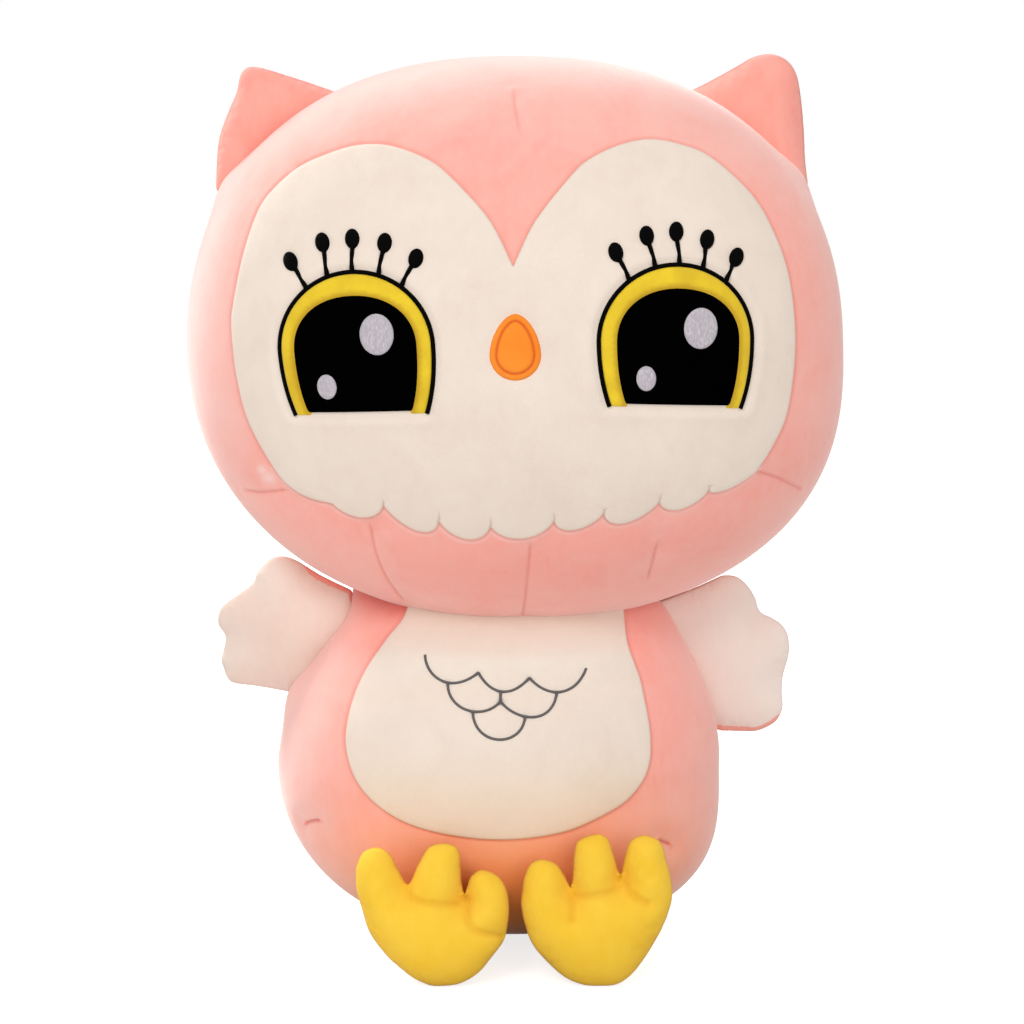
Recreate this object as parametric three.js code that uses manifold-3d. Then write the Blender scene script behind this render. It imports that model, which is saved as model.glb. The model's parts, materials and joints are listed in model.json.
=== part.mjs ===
import * as THREE from 'three';
import { mergeVertices } from 'three/addons/utils/BufferGeometryUtils.js';
import Module from 'manifold-3d';

// A stuffed owl that sits on its seat, with a large head, two flat wings and two upright feet.
// Millimetres, +Z up. It looks along -Y and sits on z = 0. Left and right are the owl's own: left is +X.

const wasm = await Module();
wasm.setup();

// Head: a wide ball, higher above its widest line than below it
const headHalfWidth = 167.3;
const headHalfDepth = 112;
const headCrownRise = 151;
const headChinDrop = 135;
const chinHeight = 162.7;
const headSeamSetback = 6;
const headForm = {
  halfWidth: headHalfWidth, halfDepth: headHalfDepth, rise: headCrownRise, drop: headChinDrop,
  girthPower: 2.2, risePower: 2.35, dropPower: 2.27, segments: 32, rings: 16,
};

// Body: a pear that is widest at the waist and hides its shoulders under the head
const bodyHalfWidth = 115;
const bodyHalfDepth = 92;
const shoulderRise = 122;
const waistHeight = 88;
const bodySideShift = -8.5;
const seatCut = 0.5;
const bodyForm = {
  halfWidth: bodyHalfWidth, halfDepth: bodyHalfDepth, rise: shoulderRise, drop: waistHeight + seatCut,
  flatDrop: waistHeight, girthPower: 2.2, risePower: 1.72, dropPower: 2.9, segments: 28, rings: 14,
};

// Cloth and clearances
const coverThickness = 2.4;
const limbCoverThickness = 1.6;
const feltThickness = 1.2;
const threadHeight = 0.9;
const sewnGap = 0.3;
const stuffingGap = 0.4;
const neckGap = 0.8;
const neckStuffingGap = 5;
const innerSegments = 16;
const innerRings = 8;
const limbRingShares = [0.86, 0.52];
const innerLimbRingShares = [0.66];
const limbInsetShare = 1.5;
const weldDistance = 0.0001;

// Hinges: how far each stuffed joint bends, in degrees, and at how many stops its clearance is cut
const nodBend = 8;
const nodStops = 7;
const nodHingeDrop = 27;
const wingBend = 35;
const wingStops = 7;
const footBend = 45;
const footStops = 3;
const earBend = 12;
const earStops = 3;

// Face appliqué, as shares of the head's half width and of its rise or drop
const faceRightEdgeShares = [
  [-0.005, 0.324], [-0.135, 0.54], [-0.255, 0.653], [-0.394, 0.697], [-0.63, 0.626], [-0.752, 0.502],
  [-0.815, 0.28], [-0.811, -0.04], [-0.773, -0.211], [-0.668, -0.426], [-0.532, -0.491],
];
const faceLeftEdgeShares = [
  [0.719, -0.385], [0.747, -0.297], [0.791, -0.169], [0.813, 0.061], [0.78, 0.33], [0.684, 0.54],
  [0.57, 0.654], [0.386, 0.713], [0.218, 0.652], [0.116, 0.54], [-0.005, 0.324],
];
const faceCuspShares = [
  [-0.532, -0.491], [-0.382, -0.483], [-0.221, -0.539], [-0.072, -0.559], [0.112, -0.537],
  [0.255, -0.509], [0.416, -0.473], [0.563, -0.444], [0.719, -0.385],
];
const scallopDepth = 8.3;
const edgeSteps = 22;
const scallopSteps = 4;

// Eyes: arches with flat lower edges
const eyeSpacing = 76;
const eyeRise = { left: 8.5, right: 5 };
const eyeHalfWidth = 38.1;
const eyeHalfHeight = 41;
const eyeLowerEdge = 27.3;
const eyePower = 2.6;
const eyeTilt = 2.3;
const eyeThread = 1.8;
const pupilHalfWidth = 29.7;
const pupilHalfHeight = 31.7;
const pupilCentreDrop = 3;
const pupilLowerEdge = 26;
const archSteps = 20;

// Eyelashes: five stems with oval ends, fanned round the eye's middle
const lashReach = 55.3;
const lashCount = 5;
const lashSpread = 16.8;
const lashLean = -1;
const lashThread = 2;
const lashOvalHalfWidth = 3.2;
const lashOvalHalfHeight = 4.6;
const ovalSteps = 10;

// Two pale glints in each pupil, on the same side in both eyes
const glints = {
  large: { aside: 11, up: 10.7, halfWidth: 8.3, halfHeight: 9.8 },
  small: { aside: -14, up: -13.6, halfWidth: 4.9, halfHeight: 6 },
};

// Beak: an egg with its narrow end up, and a line of stitching inside its edge
const beakHalfWidth = 12.2;
const beakRise = 19;
const beakDrop = 12.4;
const beakCentreRise = 6.9;
const beakStitchInset = 3.1;
const beakStitchWidth = 1.1;
const eggSteps = 24;

// Belly appliqué and the feather stitching on it
const bellyHalfWidth = 75.3;
const bellyRise = 83;
const bellyDrop = 44;
const bellyCentreRise = 23;
const bellyPower = 2.2;
const featherWidth = 26.6;
const featherTopRise = 58;
const featherThread = 1.5;
const featherSteps = 6;
// Each stitched feather: its left end, its lowest point and its right end, in feather widths from the middle
const featherShares = [
  [[-1.5, 0.3], [-1.02, -0.16], [-0.5, 0.04]],
  [[-0.5, 0.04], [0.01, -0.3], [0.46, -0.05]],
  [[0.46, -0.05], [0.98, -0.34], [1.52, 0.06]],
  [[-1.02, -0.16], [-0.48, -0.67], [0.01, -0.3]],
  [[0.01, -0.3], [0.5, -0.75], [0.98, -0.34]],
  [[-0.48, -0.67], [-0.1, -1.16], [0.5, -0.75]],
];

// Ears: three-cornered pillows on the head's upper corners
const earHalfBase = 35.5;
const earHalfThickness = 15;
const earHeight = { left: 40, right: 36 };
const earBaseCentreShares = [0.729, 0.722];
const earBaseSlope = 39.4;
const earSunkShare = 0.35;
const earMiddleShare = 0.1;
const earHingeRise = 2;
const earPower = 2.4;
const earSteps = 11;
const earOutlineShares = [
  [1, 0], [0.6, 0.42], [0.08, 0.8], [-0.24, 1], [-0.5, 0.95], [-0.7, 0.62], [-0.93, 0.22], [-1, 0],
];

// Wings: flat pillows with three lobes, sewn into the body's side seams
const wingReach = 58;
const wingHalfThickness = 9.5;
const wingSunk = 5;
const wingHingeOut = 4;
const wingMiddleShare = 0.42;
const wingPower = 2.5;
const wingSteps = 20;
const wingHeadClearance = 1.2;
const wings = {
  left: { height: 83, rootLow: 105.7, rootHigh: 166.8, belowRoot: 13 },
  right: { height: 76, rootLow: 124.9, rootHigh: 169.4, belowRoot: 17.7 },
};
// From the top of the root round the lobes to the foot of the root: outward share, height share
const wingOutlineShares = [
  [0.06, 0.985], [0.38, 0.995], [0.64, 0.97], [0.78, 0.9], [0.84, 0.79], [0.82, 0.69],
  [0.95, 0.57], [0.985, 0.46], [0.93, 0.34], [0.81, 0.275], [0.79, 0.18], [0.7, 0.07],
  [0.55, 0.005], [0.36, 0.01], [0.08, 0.1],
];

// Feet: soles to the front, toes up, each a pad with three toes
const footSpacingShare = 0.348;
const footStandOut = 21.5;
const footHalfDepth = 15;
const padHalfWidth = 36.3;
const padBackDepth = 34;
const padDrop = 36;
const padRise = 13;
const padPower = 2.3;
const padFacets = { outer: { segments: 12, rings: 8 }, inner: { segments: 8, rings: 7 } };
const toeHalfWidth = 10.2;
const toeHalfDepth = 12;
const toeHalfLength = 23;
const toeTipPower = 2.8;
const toeFacets = { outer: { segments: 8, rings: 6 }, inner: { segments: 8, rings: 5 } };
const footHingeHeight = 13;
const footHeights = { left: 72, right: 67.5 };
// Each toe, from the outer to the inner one: place beside the middle, tip height share, lean in degrees
const toeSeats = {
  outerToe: { asideShare: 0.7, tipShare: 0.985, lean: 6 },
  middleToe: { asideShare: -0.07, tipShare: 1, lean: 1 },
  innerToe: { asideShare: -0.71, tipShare: 0.82, lean: -3 },
};

const headCentre = new THREE.Vector3(0, 0, chinHeight + headChinDrop);
const bodyCentre = new THREE.Vector3(bodySideShift, 0, waistHeight);
const reach = chinHeight + headChinDrop + headCrownRise + earHeight.left;
const sides = { left: 1, right: -1 };
const frontSide = -1;
const backSide = 1;

// Materials
function cloth(colour) {
  return new THREE.MeshStandardMaterial({ color: new THREE.Color(colour), roughness: 0.85, metalness: 0 });
}

function thread(colour) {
  return new THREE.MeshStandardMaterial({ color: new THREE.Color(colour), roughness: 0.5, metalness: 0 });
}

const pinkPlush = cloth('#f3bcb0');
const creamPlush = cloth('#f3e3d3');
const yellowPlush = cloth('#f5c742');
const orangeCloth = cloth('#fb922e');
const blackCloth = cloth('#0a0a0a');
const yellowSatin = thread('#f2df3a');
const orangeThread = thread('#e0701f');
const blackThread = thread('#080808');
const paleThread = thread('#c9bfc6');
const greyThread = thread('#77706d');
const stuffing = cloth('#f4f2ec');

// Solids and meshes
function solidOf(geometry) {
  const bare = geometry.clone();
  bare.deleteAttribute('normal');
  bare.deleteAttribute('uv');
  const closed = mergeVertices(bare, weldDistance);
  return new wasm.Manifold(new wasm.Mesh({
    numProp: 3,
    vertProperties: new Float32Array(closed.attributes.position.array),
    triVerts: new Uint32Array(closed.index.array),
  }));
}

function geometryOf(solid) {
  const cut = solid.getMesh();
  const geometry = new THREE.BufferGeometry();
  geometry.setAttribute('position', new THREE.BufferAttribute(new Float32Array(cut.vertProperties), 3));
  geometry.setIndex(new THREE.BufferAttribute(new Uint32Array(cut.triVerts), 1));
  return geometry;
}

function meshOf(name, solid, material) {
  const geometry = geometryOf(solid);
  geometry.computeVertexNormals();
  const mesh = new THREE.Mesh(geometry, material);
  mesh.name = name;
  return mesh;
}

function joined(solids) {
  return solids.reduce((sum, solid) => sum.add(solid));
}

function cutBy(solid, cutters) {
  return cutters.reduce((rest, cutter) => rest.subtract(cutter), solid);
}

// The half of all space before or behind a plane across Y
function halfSpace(side, place) {
  const box = new THREE.BoxGeometry(2 * reach, reach, 2 * reach);
  return solidOf(box.translate(0, place + side * reach / 2, 0));
}

function aboveFloor(floorDrop) {
  const box = new THREE.BoxGeometry(2 * reach, 2 * reach, 2 * reach);
  return solidOf(box.translate(0, 0, reach - floorDrop));
}

function signedPower(value, power) {
  return Math.sign(value) * Math.abs(value) ** power;
}

// A form grown by the same amount on every side, or shrunk where the amount is negative
function grown(form, amount) {
  const next = { ...form };
  for (const size of ['halfWidth', 'halfDepth', 'rise', 'drop']) {
    next[size] = form[size] + amount;
  }
  for (const size of ['flatDrop', 'backDepth']) {
    if (form[size] !== undefined) {
      next[size] = form[size] + amount;
    }
  }
  return next;
}

function coarse(form) {
  return { ...form, segments: innerSegments, rings: innerRings };
}

function formPoint(form, turn, tilt) {
  const power = tilt > 0 ? form.risePower : form.dropPower;
  const height = tilt > 0 ? form.rise : form.drop;
  const around = Math.abs(Math.cos(tilt)) ** (2 / power);
  const depth = turn < Math.PI ? form.backDepth ?? form.halfDepth : form.halfDepth;
  return [
    form.halfWidth * around * signedPower(Math.cos(turn), 2 / form.girthPower),
    depth * around * signedPower(Math.sin(turn), 2 / form.girthPower),
    height * signedPower(Math.sin(tilt), 2 / power),
  ];
}

// A closed ball of a form, with a flat seat where the form names one
function formGeometry(form) {
  const flat = form.flatDrop !== undefined;
  const lowTilt = flat ? -Math.asin((form.flatDrop / form.drop) ** (form.dropPower / 2)) : -Math.PI / 2;
  const positions = [0, 0, flat ? -form.flatDrop : -form.drop];
  const index = [];
  const firstRing = flat ? 0 : 1;
  for (let ring = firstRing; ring < form.rings; ring += 1) {
    const tilt = lowTilt + (Math.PI / 2 - lowTilt) * ring / form.rings;
    for (let step = 0; step < form.segments; step += 1) {
      positions.push(...formPoint(form, 2 * Math.PI * step / form.segments, tilt));
    }
  }
  positions.push(0, 0, form.rise);
  const ringCount = form.rings - firstRing;
  const crown = positions.length / 3 - 1;
  for (let step = 0; step < form.segments; step += 1) {
    const next = (step + 1) % form.segments;
    index.push(0, 1 + next, 1 + step);
    for (let ring = 0; ring < ringCount - 1; ring += 1) {
      const low = 1 + ring * form.segments;
      const high = low + form.segments;
      index.push(low + step, low + next, high + next, low + step, high + next, high + step);
    }
    const last = 1 + (ringCount - 1) * form.segments;
    index.push(last + step, last + next, crown);
  }
  return closedGeometry(positions, index);
}

function closedGeometry(positions, index) {
  const geometry = new THREE.BufferGeometry();
  geometry.setAttribute('position', new THREE.Float32BufferAttribute(positions, 3));
  geometry.setIndex(index);
  return geometry;
}

// Two sheets sewn along an outline in the XZ plane and stuffed
function pillowGeometry(outline, centre, halfThickness, power, ringShares) {
  const positions = [];
  const index = [];
  const count = outline.length;
  function addRing(share, side) {
    const depth = side * halfThickness * (1 - share ** power) ** (1 / power);
    for (const point of outline) {
      const place = centre.clone().lerp(point, share);
      positions.push(place.x, depth, place.y);
    }
  }
  addRing(1, 0);
  for (const side of [frontSide, backSide]) {
    const start = positions.length / 3;
    ringShares.forEach((share) => addRing(share, side));
    positions.push(centre.x, side * halfThickness, centre.y);
    const middle = positions.length / 3 - 1;
    for (let step = 0; step < count; step += 1) {
      const next = (step + 1) % count;
      const quads = ringShares.map((share, ring) => start + ring * count);
      let outer = 0;
      for (const inner of quads) {
        addFace(index, side, [outer + step, outer + next, inner + next]);
        addFace(index, side, [outer + step, inner + next, inner + step]);
        outer = inner;
      }
      addFace(index, side, [outer + step, outer + next, middle]);
    }
  }
  return closedGeometry(positions, index);
}

function addFace(index, side, corners) {
  index.push(...(side === frontSide ? corners : corners.reverse()));
}

// Outlines in the XZ plane, as lists of Vector2, anticlockwise seen from the front
function arch(halfWidth, halfHeight, lowerEdge) {
  const start = -Math.asin((lowerEdge / halfHeight) ** (eyePower / 2));
  const points = [];
  for (let step = 0; step <= archSteps; step += 1) {
    const turn = start + (Math.PI - 2 * start) * step / archSteps;
    points.push(new THREE.Vector2(
      halfWidth * signedPower(Math.cos(turn), 2 / eyePower),
      halfHeight * signedPower(Math.sin(turn), 2 / eyePower),
    ));
  }
  return points;
}

// How far an eye's edge lies from its middle in one direction
function archRadius(away) {
  const wide = Math.abs(away.x / eyeHalfWidth) ** eyePower;
  const high = Math.abs(away.y / eyeHalfHeight) ** eyePower;
  return (wide + high) ** (-1 / eyePower);
}

function egg(halfWidth, rise, drop, power, steps) {
  const points = [];
  for (let step = 0; step < steps; step += 1) {
    const turn = 2 * Math.PI * step / steps;
    const height = Math.sin(turn) > 0 ? rise : drop;
    points.push(new THREE.Vector2(
      halfWidth * signedPower(Math.cos(turn), 2 / power),
      height * signedPower(Math.sin(turn), 2 / power),
    ));
  }
  return points;
}

function moved(points, aside, up, turn = 0) {
  const middle = new THREE.Vector2();
  return points.map((point) => point.clone().rotateAround(middle, turn).add(new THREE.Vector2(aside, up)));
}

// A stitched line of even width along a list of points
function stitched(points, width) {
  const near = [];
  const far = [];
  points.forEach((point, place) => {
    const before = points[Math.max(place - 1, 0)];
    const after = points[Math.min(place + 1, points.length - 1)];
    const along = after.clone().sub(before).normalize();
    const across = new THREE.Vector2(-along.y, along.x).multiplyScalar(width / 2);
    near.push(point.clone().sub(across));
    far.unshift(point.clone().add(across));
  });
  return near.concat(far);
}

// An outline carried from the XZ plane straight to the front, through every form
function prism(outline) {
  const geometry = new THREE.ExtrudeGeometry(new THREE.Shape(outline), { depth: reach, bevelEnabled: false });
  return solidOf(geometry.rotateX(Math.PI / 2));
}

// A layer of cloth on the front of a form, between two heights over it
function layer(form, cutter, under, thickness) {
  const outside = solidOf(formGeometry(grown(form, under + thickness)));
  return cutter.intersect(outside).subtract(solidOf(formGeometry(grown(form, under))));
}

// Turned copies of an obstacle, as a piece on a hinge meets it over its whole bend
function sweptObstacle(geometry, hinge, axis, bends) {
  return bends.map((bend) => {
    const turned = geometry.clone().translate(-hinge.x, -hinge.y, -hinge.z);
    turned.applyMatrix4(new THREE.Matrix4().makeRotationAxis(axis, THREE.MathUtils.degToRad(bend)));
    return solidOf(turned.translate(hinge.x, hinge.y, hinge.z));
  });
}

function bendsOver(low, high, count) {
  return Array.from({ length: count }, (unused, step) => low + (high - low) * step / (count - 1));
}

// The world's geometry as a group's own frame sees it
function seenFrom(group, geometry) {
  group.updateWorldMatrix(true, false);
  return geometry.clone().applyMatrix4(group.matrixWorld.clone().invert());
}

// Front cover, back cover and stuffing of a sewn, stuffed shape
function sewnPieces(names, solids, seamPlace, materials) {
  const shell = solids.outside.subtract(solids.inside);
  return [
    meshOf(names[0], shell.intersect(halfSpace(frontSide, seamPlace - sewnGap / 2)), materials[0]),
    meshOf(names[1], shell.intersect(halfSpace(backSide, seamPlace + sewnGap / 2)), materials[1]),
    meshOf(names[2], solids.filling, stuffing),
  ];
}

function ballSolids(form) {
  const inner = coarse(form);
  return {
    outside: solidOf(formGeometry(form)),
    inside: solidOf(formGeometry(grown(inner, -coverThickness))),
    filling: solidOf(formGeometry(grown(inner, -coverThickness - stuffingGap))),
  };
}

// Head
function buildHead() {
  const head = new THREE.Group();
  head.position.copy(headCentre);
  head.add(...sewnPieces(
    ['head_front', 'head_back', 'head_filling'], ballSolids(headForm), headSeamSetback,
    [pinkPlush, pinkPlush],
  ));
  head.add(meshOf('face_patch', layer(headForm, prism(faceOutline()), sewnGap, feltThickness), creamPlush));
  head.add(...buildBeak());
  for (const [name, side] of Object.entries(sides)) {
    head.add(...buildEye(name, side));
  }
  return head;
}

function headPlace([asideShare, upShare]) {
  const height = upShare > 0 ? headCrownRise : headChinDrop;
  return new THREE.Vector2(asideShare * headHalfWidth, upShare * height);
}

function faceOutline() {
  const rightEdge = new THREE.SplineCurve(faceRightEdgeShares.map(headPlace)).getPoints(edgeSteps);
  const leftEdge = new THREE.SplineCurve(faceLeftEdgeShares.map(headPlace)).getPoints(edgeSteps);
  const cusps = faceCuspShares.map(headPlace);
  const lower = [];
  for (let place = 0; place < cusps.length - 1; place += 1) {
    const from = cusps[place];
    const to = cusps[place + 1];
    const middle = from.clone().lerp(to, 0.5);
    middle.y -= 2 * scallopDepth;
    const scallop = new THREE.QuadraticBezierCurve(from, middle, to).getPoints(scallopSteps);
    lower.push(...scallop.slice(1));
  }
  return rightEdge.concat(lower, leftEdge.slice(1, -1));
}

// Heights of the layers that lie on the face
const onFace = sewnGap + feltThickness + sewnGap;
const onIris = onFace + threadHeight + sewnGap;
const onPupil = onIris + threadHeight + sewnGap;

function buildEye(name, side) {
  const tilt = THREE.MathUtils.degToRad(-side * eyeTilt);
  const place = (points) => moved(points, side * eyeSpacing, eyeRise[name], tilt);
  const outer = arch(eyeHalfWidth, eyeHalfHeight, eyeLowerEdge);
  const hole = arch(eyeHalfWidth - eyeThread, eyeHalfHeight - eyeThread, eyeLowerEdge + eyeThread);
  const band = prism(place(outer)).subtract(prism(place(hole)));
  const lashes = lashOutlines(side).map((outline) => prism(place(outline)));
  const black = joined([band, ...lashes]);
  const inset = eyeThread + 2 * sewnGap;
  const iris = arch(eyeHalfWidth - inset, eyeHalfHeight - inset, eyeLowerEdge);
  const pupilEdge = pupilLowerEdge - pupilCentreDrop;
  const pupil = moved(arch(pupilHalfWidth, pupilHalfHeight, pupilEdge), 0, -pupilCentreDrop);
  const yellow = prism(place(iris)).subtract(prism(place(stripBelow(pupil))));
  const pieces = [
    meshOf(`eye_outline_${name}`, layer(headForm, black, onFace, threadHeight), blackThread),
    meshOf(`iris_${name}`, layer(headForm, yellow, onFace, threadHeight), yellowSatin),
    meshOf(`pupil_${name}`, layer(headForm, prism(place(pupil)), onIris, threadHeight), blackCloth),
  ];
  for (const [size, glint] of Object.entries(glints)) {
    const oval = egg(glint.halfWidth, glint.halfHeight, glint.halfHeight, 2, ovalSteps);
    const cutter = prism(place(moved(oval, glint.aside, glint.up)));
    pieces.push(meshOf(`glint_${size}_${name}`, layer(headForm, cutter, onPupil, threadHeight), paleThread));
  }
  return pieces;
}

// The strip between the flat lower edge of a pupil and the flat lower edge of its eye
function stripBelow(pupil) {
  const [right, left] = [pupil[0], pupil.at(-1)];
  const low = -eyeLowerEdge - eyeThread;
  return [left, new THREE.Vector2(left.x, low), new THREE.Vector2(right.x, low), right];
}

function lashOutlines(side) {
  const outlines = [];
  for (let lash = 0; lash < lashCount; lash += 1) {
    const fan = (lash - (lashCount - 1) / 2) * lashSpread + side * lashLean;
    const turn = THREE.MathUtils.degToRad(fan);
    const away = new THREE.Vector2(Math.sin(turn), Math.cos(turn));
    const oval = egg(lashOvalHalfWidth, lashOvalHalfHeight, lashOvalHalfHeight, 2, ovalSteps);
    const tip = away.clone().multiplyScalar(lashReach);
    const foot = away.clone().multiplyScalar(archRadius(away) - eyeThread / 2);
    outlines.push(moved(oval, tip.x, tip.y, -turn), stitched([foot, tip], lashThread));
  }
  return outlines;
}

function buildBeak() {
  const beak = egg(beakHalfWidth, beakRise, beakDrop, 2, eggSteps);
  const rim = (inset) => egg(beakHalfWidth - inset, beakRise - inset, beakDrop - inset, 2, eggSteps);
  const place = (points) => moved(points, 0, beakCentreRise);
  const line = prism(place(rim(beakStitchInset)))
    .subtract(prism(place(rim(beakStitchInset + beakStitchWidth))));
  const onBeak = onFace + feltThickness + sewnGap;
  return [
    meshOf('beak_patch', layer(headForm, prism(place(beak)), onFace, feltThickness), orangeCloth),
    meshOf('beak_stitching', layer(headForm, line, onBeak, threadHeight), orangeThread),
  ];
}

// A form in its place on the owl, grown by a gap that its neighbours keep
function placedForm(form, centre, gap) {
  return formGeometry(grown(form, gap)).translate(centre.x, centre.y, centre.z);
}

function headOver(form, gap) {
  return placedForm(form, headCentre, gap);
}

// Body
function buildBody(body) {
  const hinge = new THREE.Vector3(0, 0, headCentre.z - nodHingeDrop).sub(body.position);
  const axis = new THREE.Vector3(1, 0, 0);
  const head = joined(sweptObstacle(
    seenFrom(body, headOver(headForm, neckGap)), hinge, axis, bendsOver(-nodBend, nodBend, nodStops),
  ));
  const overStuffing = headOver(coarse(headForm), neckGap + neckStuffingGap);
  const ball = ballSolids(bodyForm);
  const solids = {
    outside: ball.outside.subtract(head),
    inside: ball.inside,
    filling: ball.filling.subtract(solidOf(seenFrom(body, overStuffing))),
  };
  body.add(...sewnPieces(['body_front', 'body_back', 'body_filling'], solids, 0, [pinkPlush, pinkPlush]));
  const belly = prism(moved(bellyOutline(0), 0, bellyCentreRise));
  const bellyPatch = layer(bodyForm, belly, sewnGap, feltThickness).subtract(head);
  body.add(meshOf('belly_patch', bellyPatch, creamPlush));
  const feathers = joined(featherShares.map((ends) => prism(stitched(featherLine(ends), featherThread))));
  const onBelly = sewnGap + feltThickness + sewnGap;
  body.add(meshOf('chest_stitching', layer(bodyForm, feathers, onBelly, threadHeight), greyThread));
}

function bellyOutline(gap) {
  return egg(bellyHalfWidth + gap, bellyRise + gap, bellyDrop + gap, bellyPower, 2 * eggSteps);
}

function featherLine(ends) {
  const [from, low, to] = ends.map(([asideShare, upShare]) => new THREE.Vector2(
    asideShare * featherWidth, featherTopRise + upShare * featherWidth,
  ));
  const control = low.clone().multiplyScalar(2).sub(from.clone().add(to).multiplyScalar(0.5));
  return new THREE.QuadraticBezierCurve(from, control, to).getPoints(featherSteps);
}

// Ears
function buildEar(name, side, head) {
  const ear = new THREE.Group();
  const slope = THREE.MathUtils.degToRad(earBaseSlope);
  const [asideShare, upShare] = earBaseCentreShares;
  ear.position.set(side * asideShare * headHalfWidth, headSeamSetback, upShare * headCrownRise);
  ear.rotation.y = side * slope;
  head.add(ear);
  const corners = earOutlineShares.map(([outShare, heightShare]) => new THREE.Vector2(
    side * outShare * earHalfBase, heightShare * earHeight[name],
  ));
  const upper = new THREE.SplineCurve(corners).getPoints(earSteps);
  const sunk = new THREE.Vector2(0, -earSunkShare * earHalfBase);
  const outline = side > 0 ? upper.concat([sunk]) : upper.reverse().concat([sunk]);
  const middle = new THREE.Vector2(0, earMiddleShare * earHeight[name]);
  const hinge = new THREE.Vector3(0, 0, earHingeRise);
  const axis = new THREE.Vector3(1, 0, 0);
  const obstacle = (gap) => {
    const world = headOver(headForm, gap);
    return sweptObstacle(seenFrom(ear, world), hinge, axis, bendsOver(-earBend, earBend, earStops));
  };
  ear.add(...limbPieces(`ear_${name}`, outline, middle, earHalfThickness, earPower, obstacle,
    [pinkPlush, pinkPlush]));
}

// The sewn pieces of a flat, stuffed limb, kept clear of what it is sewn to
function limbPieces(name, outline, middle, halfThickness, power, obstacle, materials) {
  const shrunk = (amount) => outline.map((point) => {
    const away = point.clone().sub(middle);
    return middle.clone().add(away.setLength(away.length() - amount));
  });
  const pillow = (amount, ringShares) => solidOf(pillowGeometry(
    shrunk(amount * limbInsetShare), middle, halfThickness - amount, power, ringShares,
  ));
  const cutters = obstacle(sewnGap);
  const solids = {
    outside: cutBy(pillow(0, limbRingShares), cutters),
    inside: pillow(limbCoverThickness, innerLimbRingShares),
    filling: cutBy(pillow(limbCoverThickness + stuffingGap, innerLimbRingShares), cutters),
  };
  return sewnPieces([`${name}_front`, `${name}_back`, `${name}_filling`], solids, 0, materials);
}

// Wings
function bodySideAt(height) {
  const share = Math.abs((height - waistHeight) / shoulderRise) ** bodyForm.risePower;
  return bodyHalfWidth * (1 - share) ** (1 / bodyForm.risePower);
}

function buildWing(name, side, owl) {
  const { height, rootLow, rootHigh, belowRoot } = wings[name];
  const low = new THREE.Vector3(bodySideShift + side * bodySideAt(rootLow), 0, rootLow);
  const high = new THREE.Vector3(bodySideShift + side * bodySideAt(rootHigh), 0, rootHigh);
  const along = high.clone().sub(low).normalize();
  const wing = new THREE.Group();
  wing.position.copy(low);
  wing.rotation.y = Math.atan2(along.x, along.z);
  owl.add(wing);
  const corners = wingOutlineShares.map(([outShare, upShare]) => new THREE.Vector2(
    side * outShare * wingReach, upShare * height - belowRoot,
  ));
  const lobes = new THREE.SplineCurve(corners).getPoints(wingSteps);
  const rootEnds = [
    new THREE.Vector2(-side * wingSunk, lobes.at(-1).y + wingSunk),
    new THREE.Vector2(-side * wingSunk, lobes[0].y - wingSunk),
  ];
  const ring = lobes.concat(rootEnds);
  const outline = side > 0 ? ring.reverse() : ring;
  const middle = new THREE.Vector2(side * wingMiddleShare * wingReach, height / 2 - belowRoot);
  const hinge = new THREE.Vector3(side * wingHingeOut, 0, 0);
  const axis = new THREE.Vector3(0, 0, 1);
  const bends = bendsOver(-wingBend, wingBend, wingStops);
  const obstacle = (gap) => {
    const body = placedForm(bodyForm, bodyCentre, gap);
    const head = headOver(headForm, gap + wingHeadClearance);
    return [body, head].flatMap((world) => sweptObstacle(seenFrom(wing, world), hinge, axis, bends));
  };
  wing.add(...limbPieces(`wing_${name}`, outline, middle, wingHalfThickness, wingPower, obstacle,
    [creamPlush, pinkPlush]));
}

// Feet
function footForms(name, side) {
  const footHeight = footHeights[name];
  const forms = [{
    form: {
      halfWidth: padHalfWidth, halfDepth: footHalfDepth, backDepth: padBackDepth,
      rise: padRise, drop: padDrop, girthPower: padPower, risePower: 2, dropPower: padPower,
    },
    facets: padFacets, aside: 0, up: padDrop - seatCut, lean: 0,
  }];
  for (const toe of Object.values(toeSeats)) {
    forms.push({
      form: {
        halfWidth: toeHalfWidth, halfDepth: toeHalfDepth, rise: toeHalfLength, drop: toeHalfLength,
        girthPower: 2, risePower: toeTipPower, dropPower: 2,
      },
      facets: toeFacets,
      aside: side * toe.asideShare * padHalfWidth,
      up: toe.tipShare * footHeight - toeHalfLength,
      lean: THREE.MathUtils.degToRad(side * toe.lean),
    });
  }
  return forms;
}

function footSolid(forms, amount, layerName) {
  return joined(forms.map(({ form, facets, aside, up, lean }) => {
    const sized = grown({ ...form, ...facets[layerName] }, -amount);
    return solidOf(formGeometry(sized).rotateY(lean).translate(aside, 0, up));
  }));
}

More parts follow.
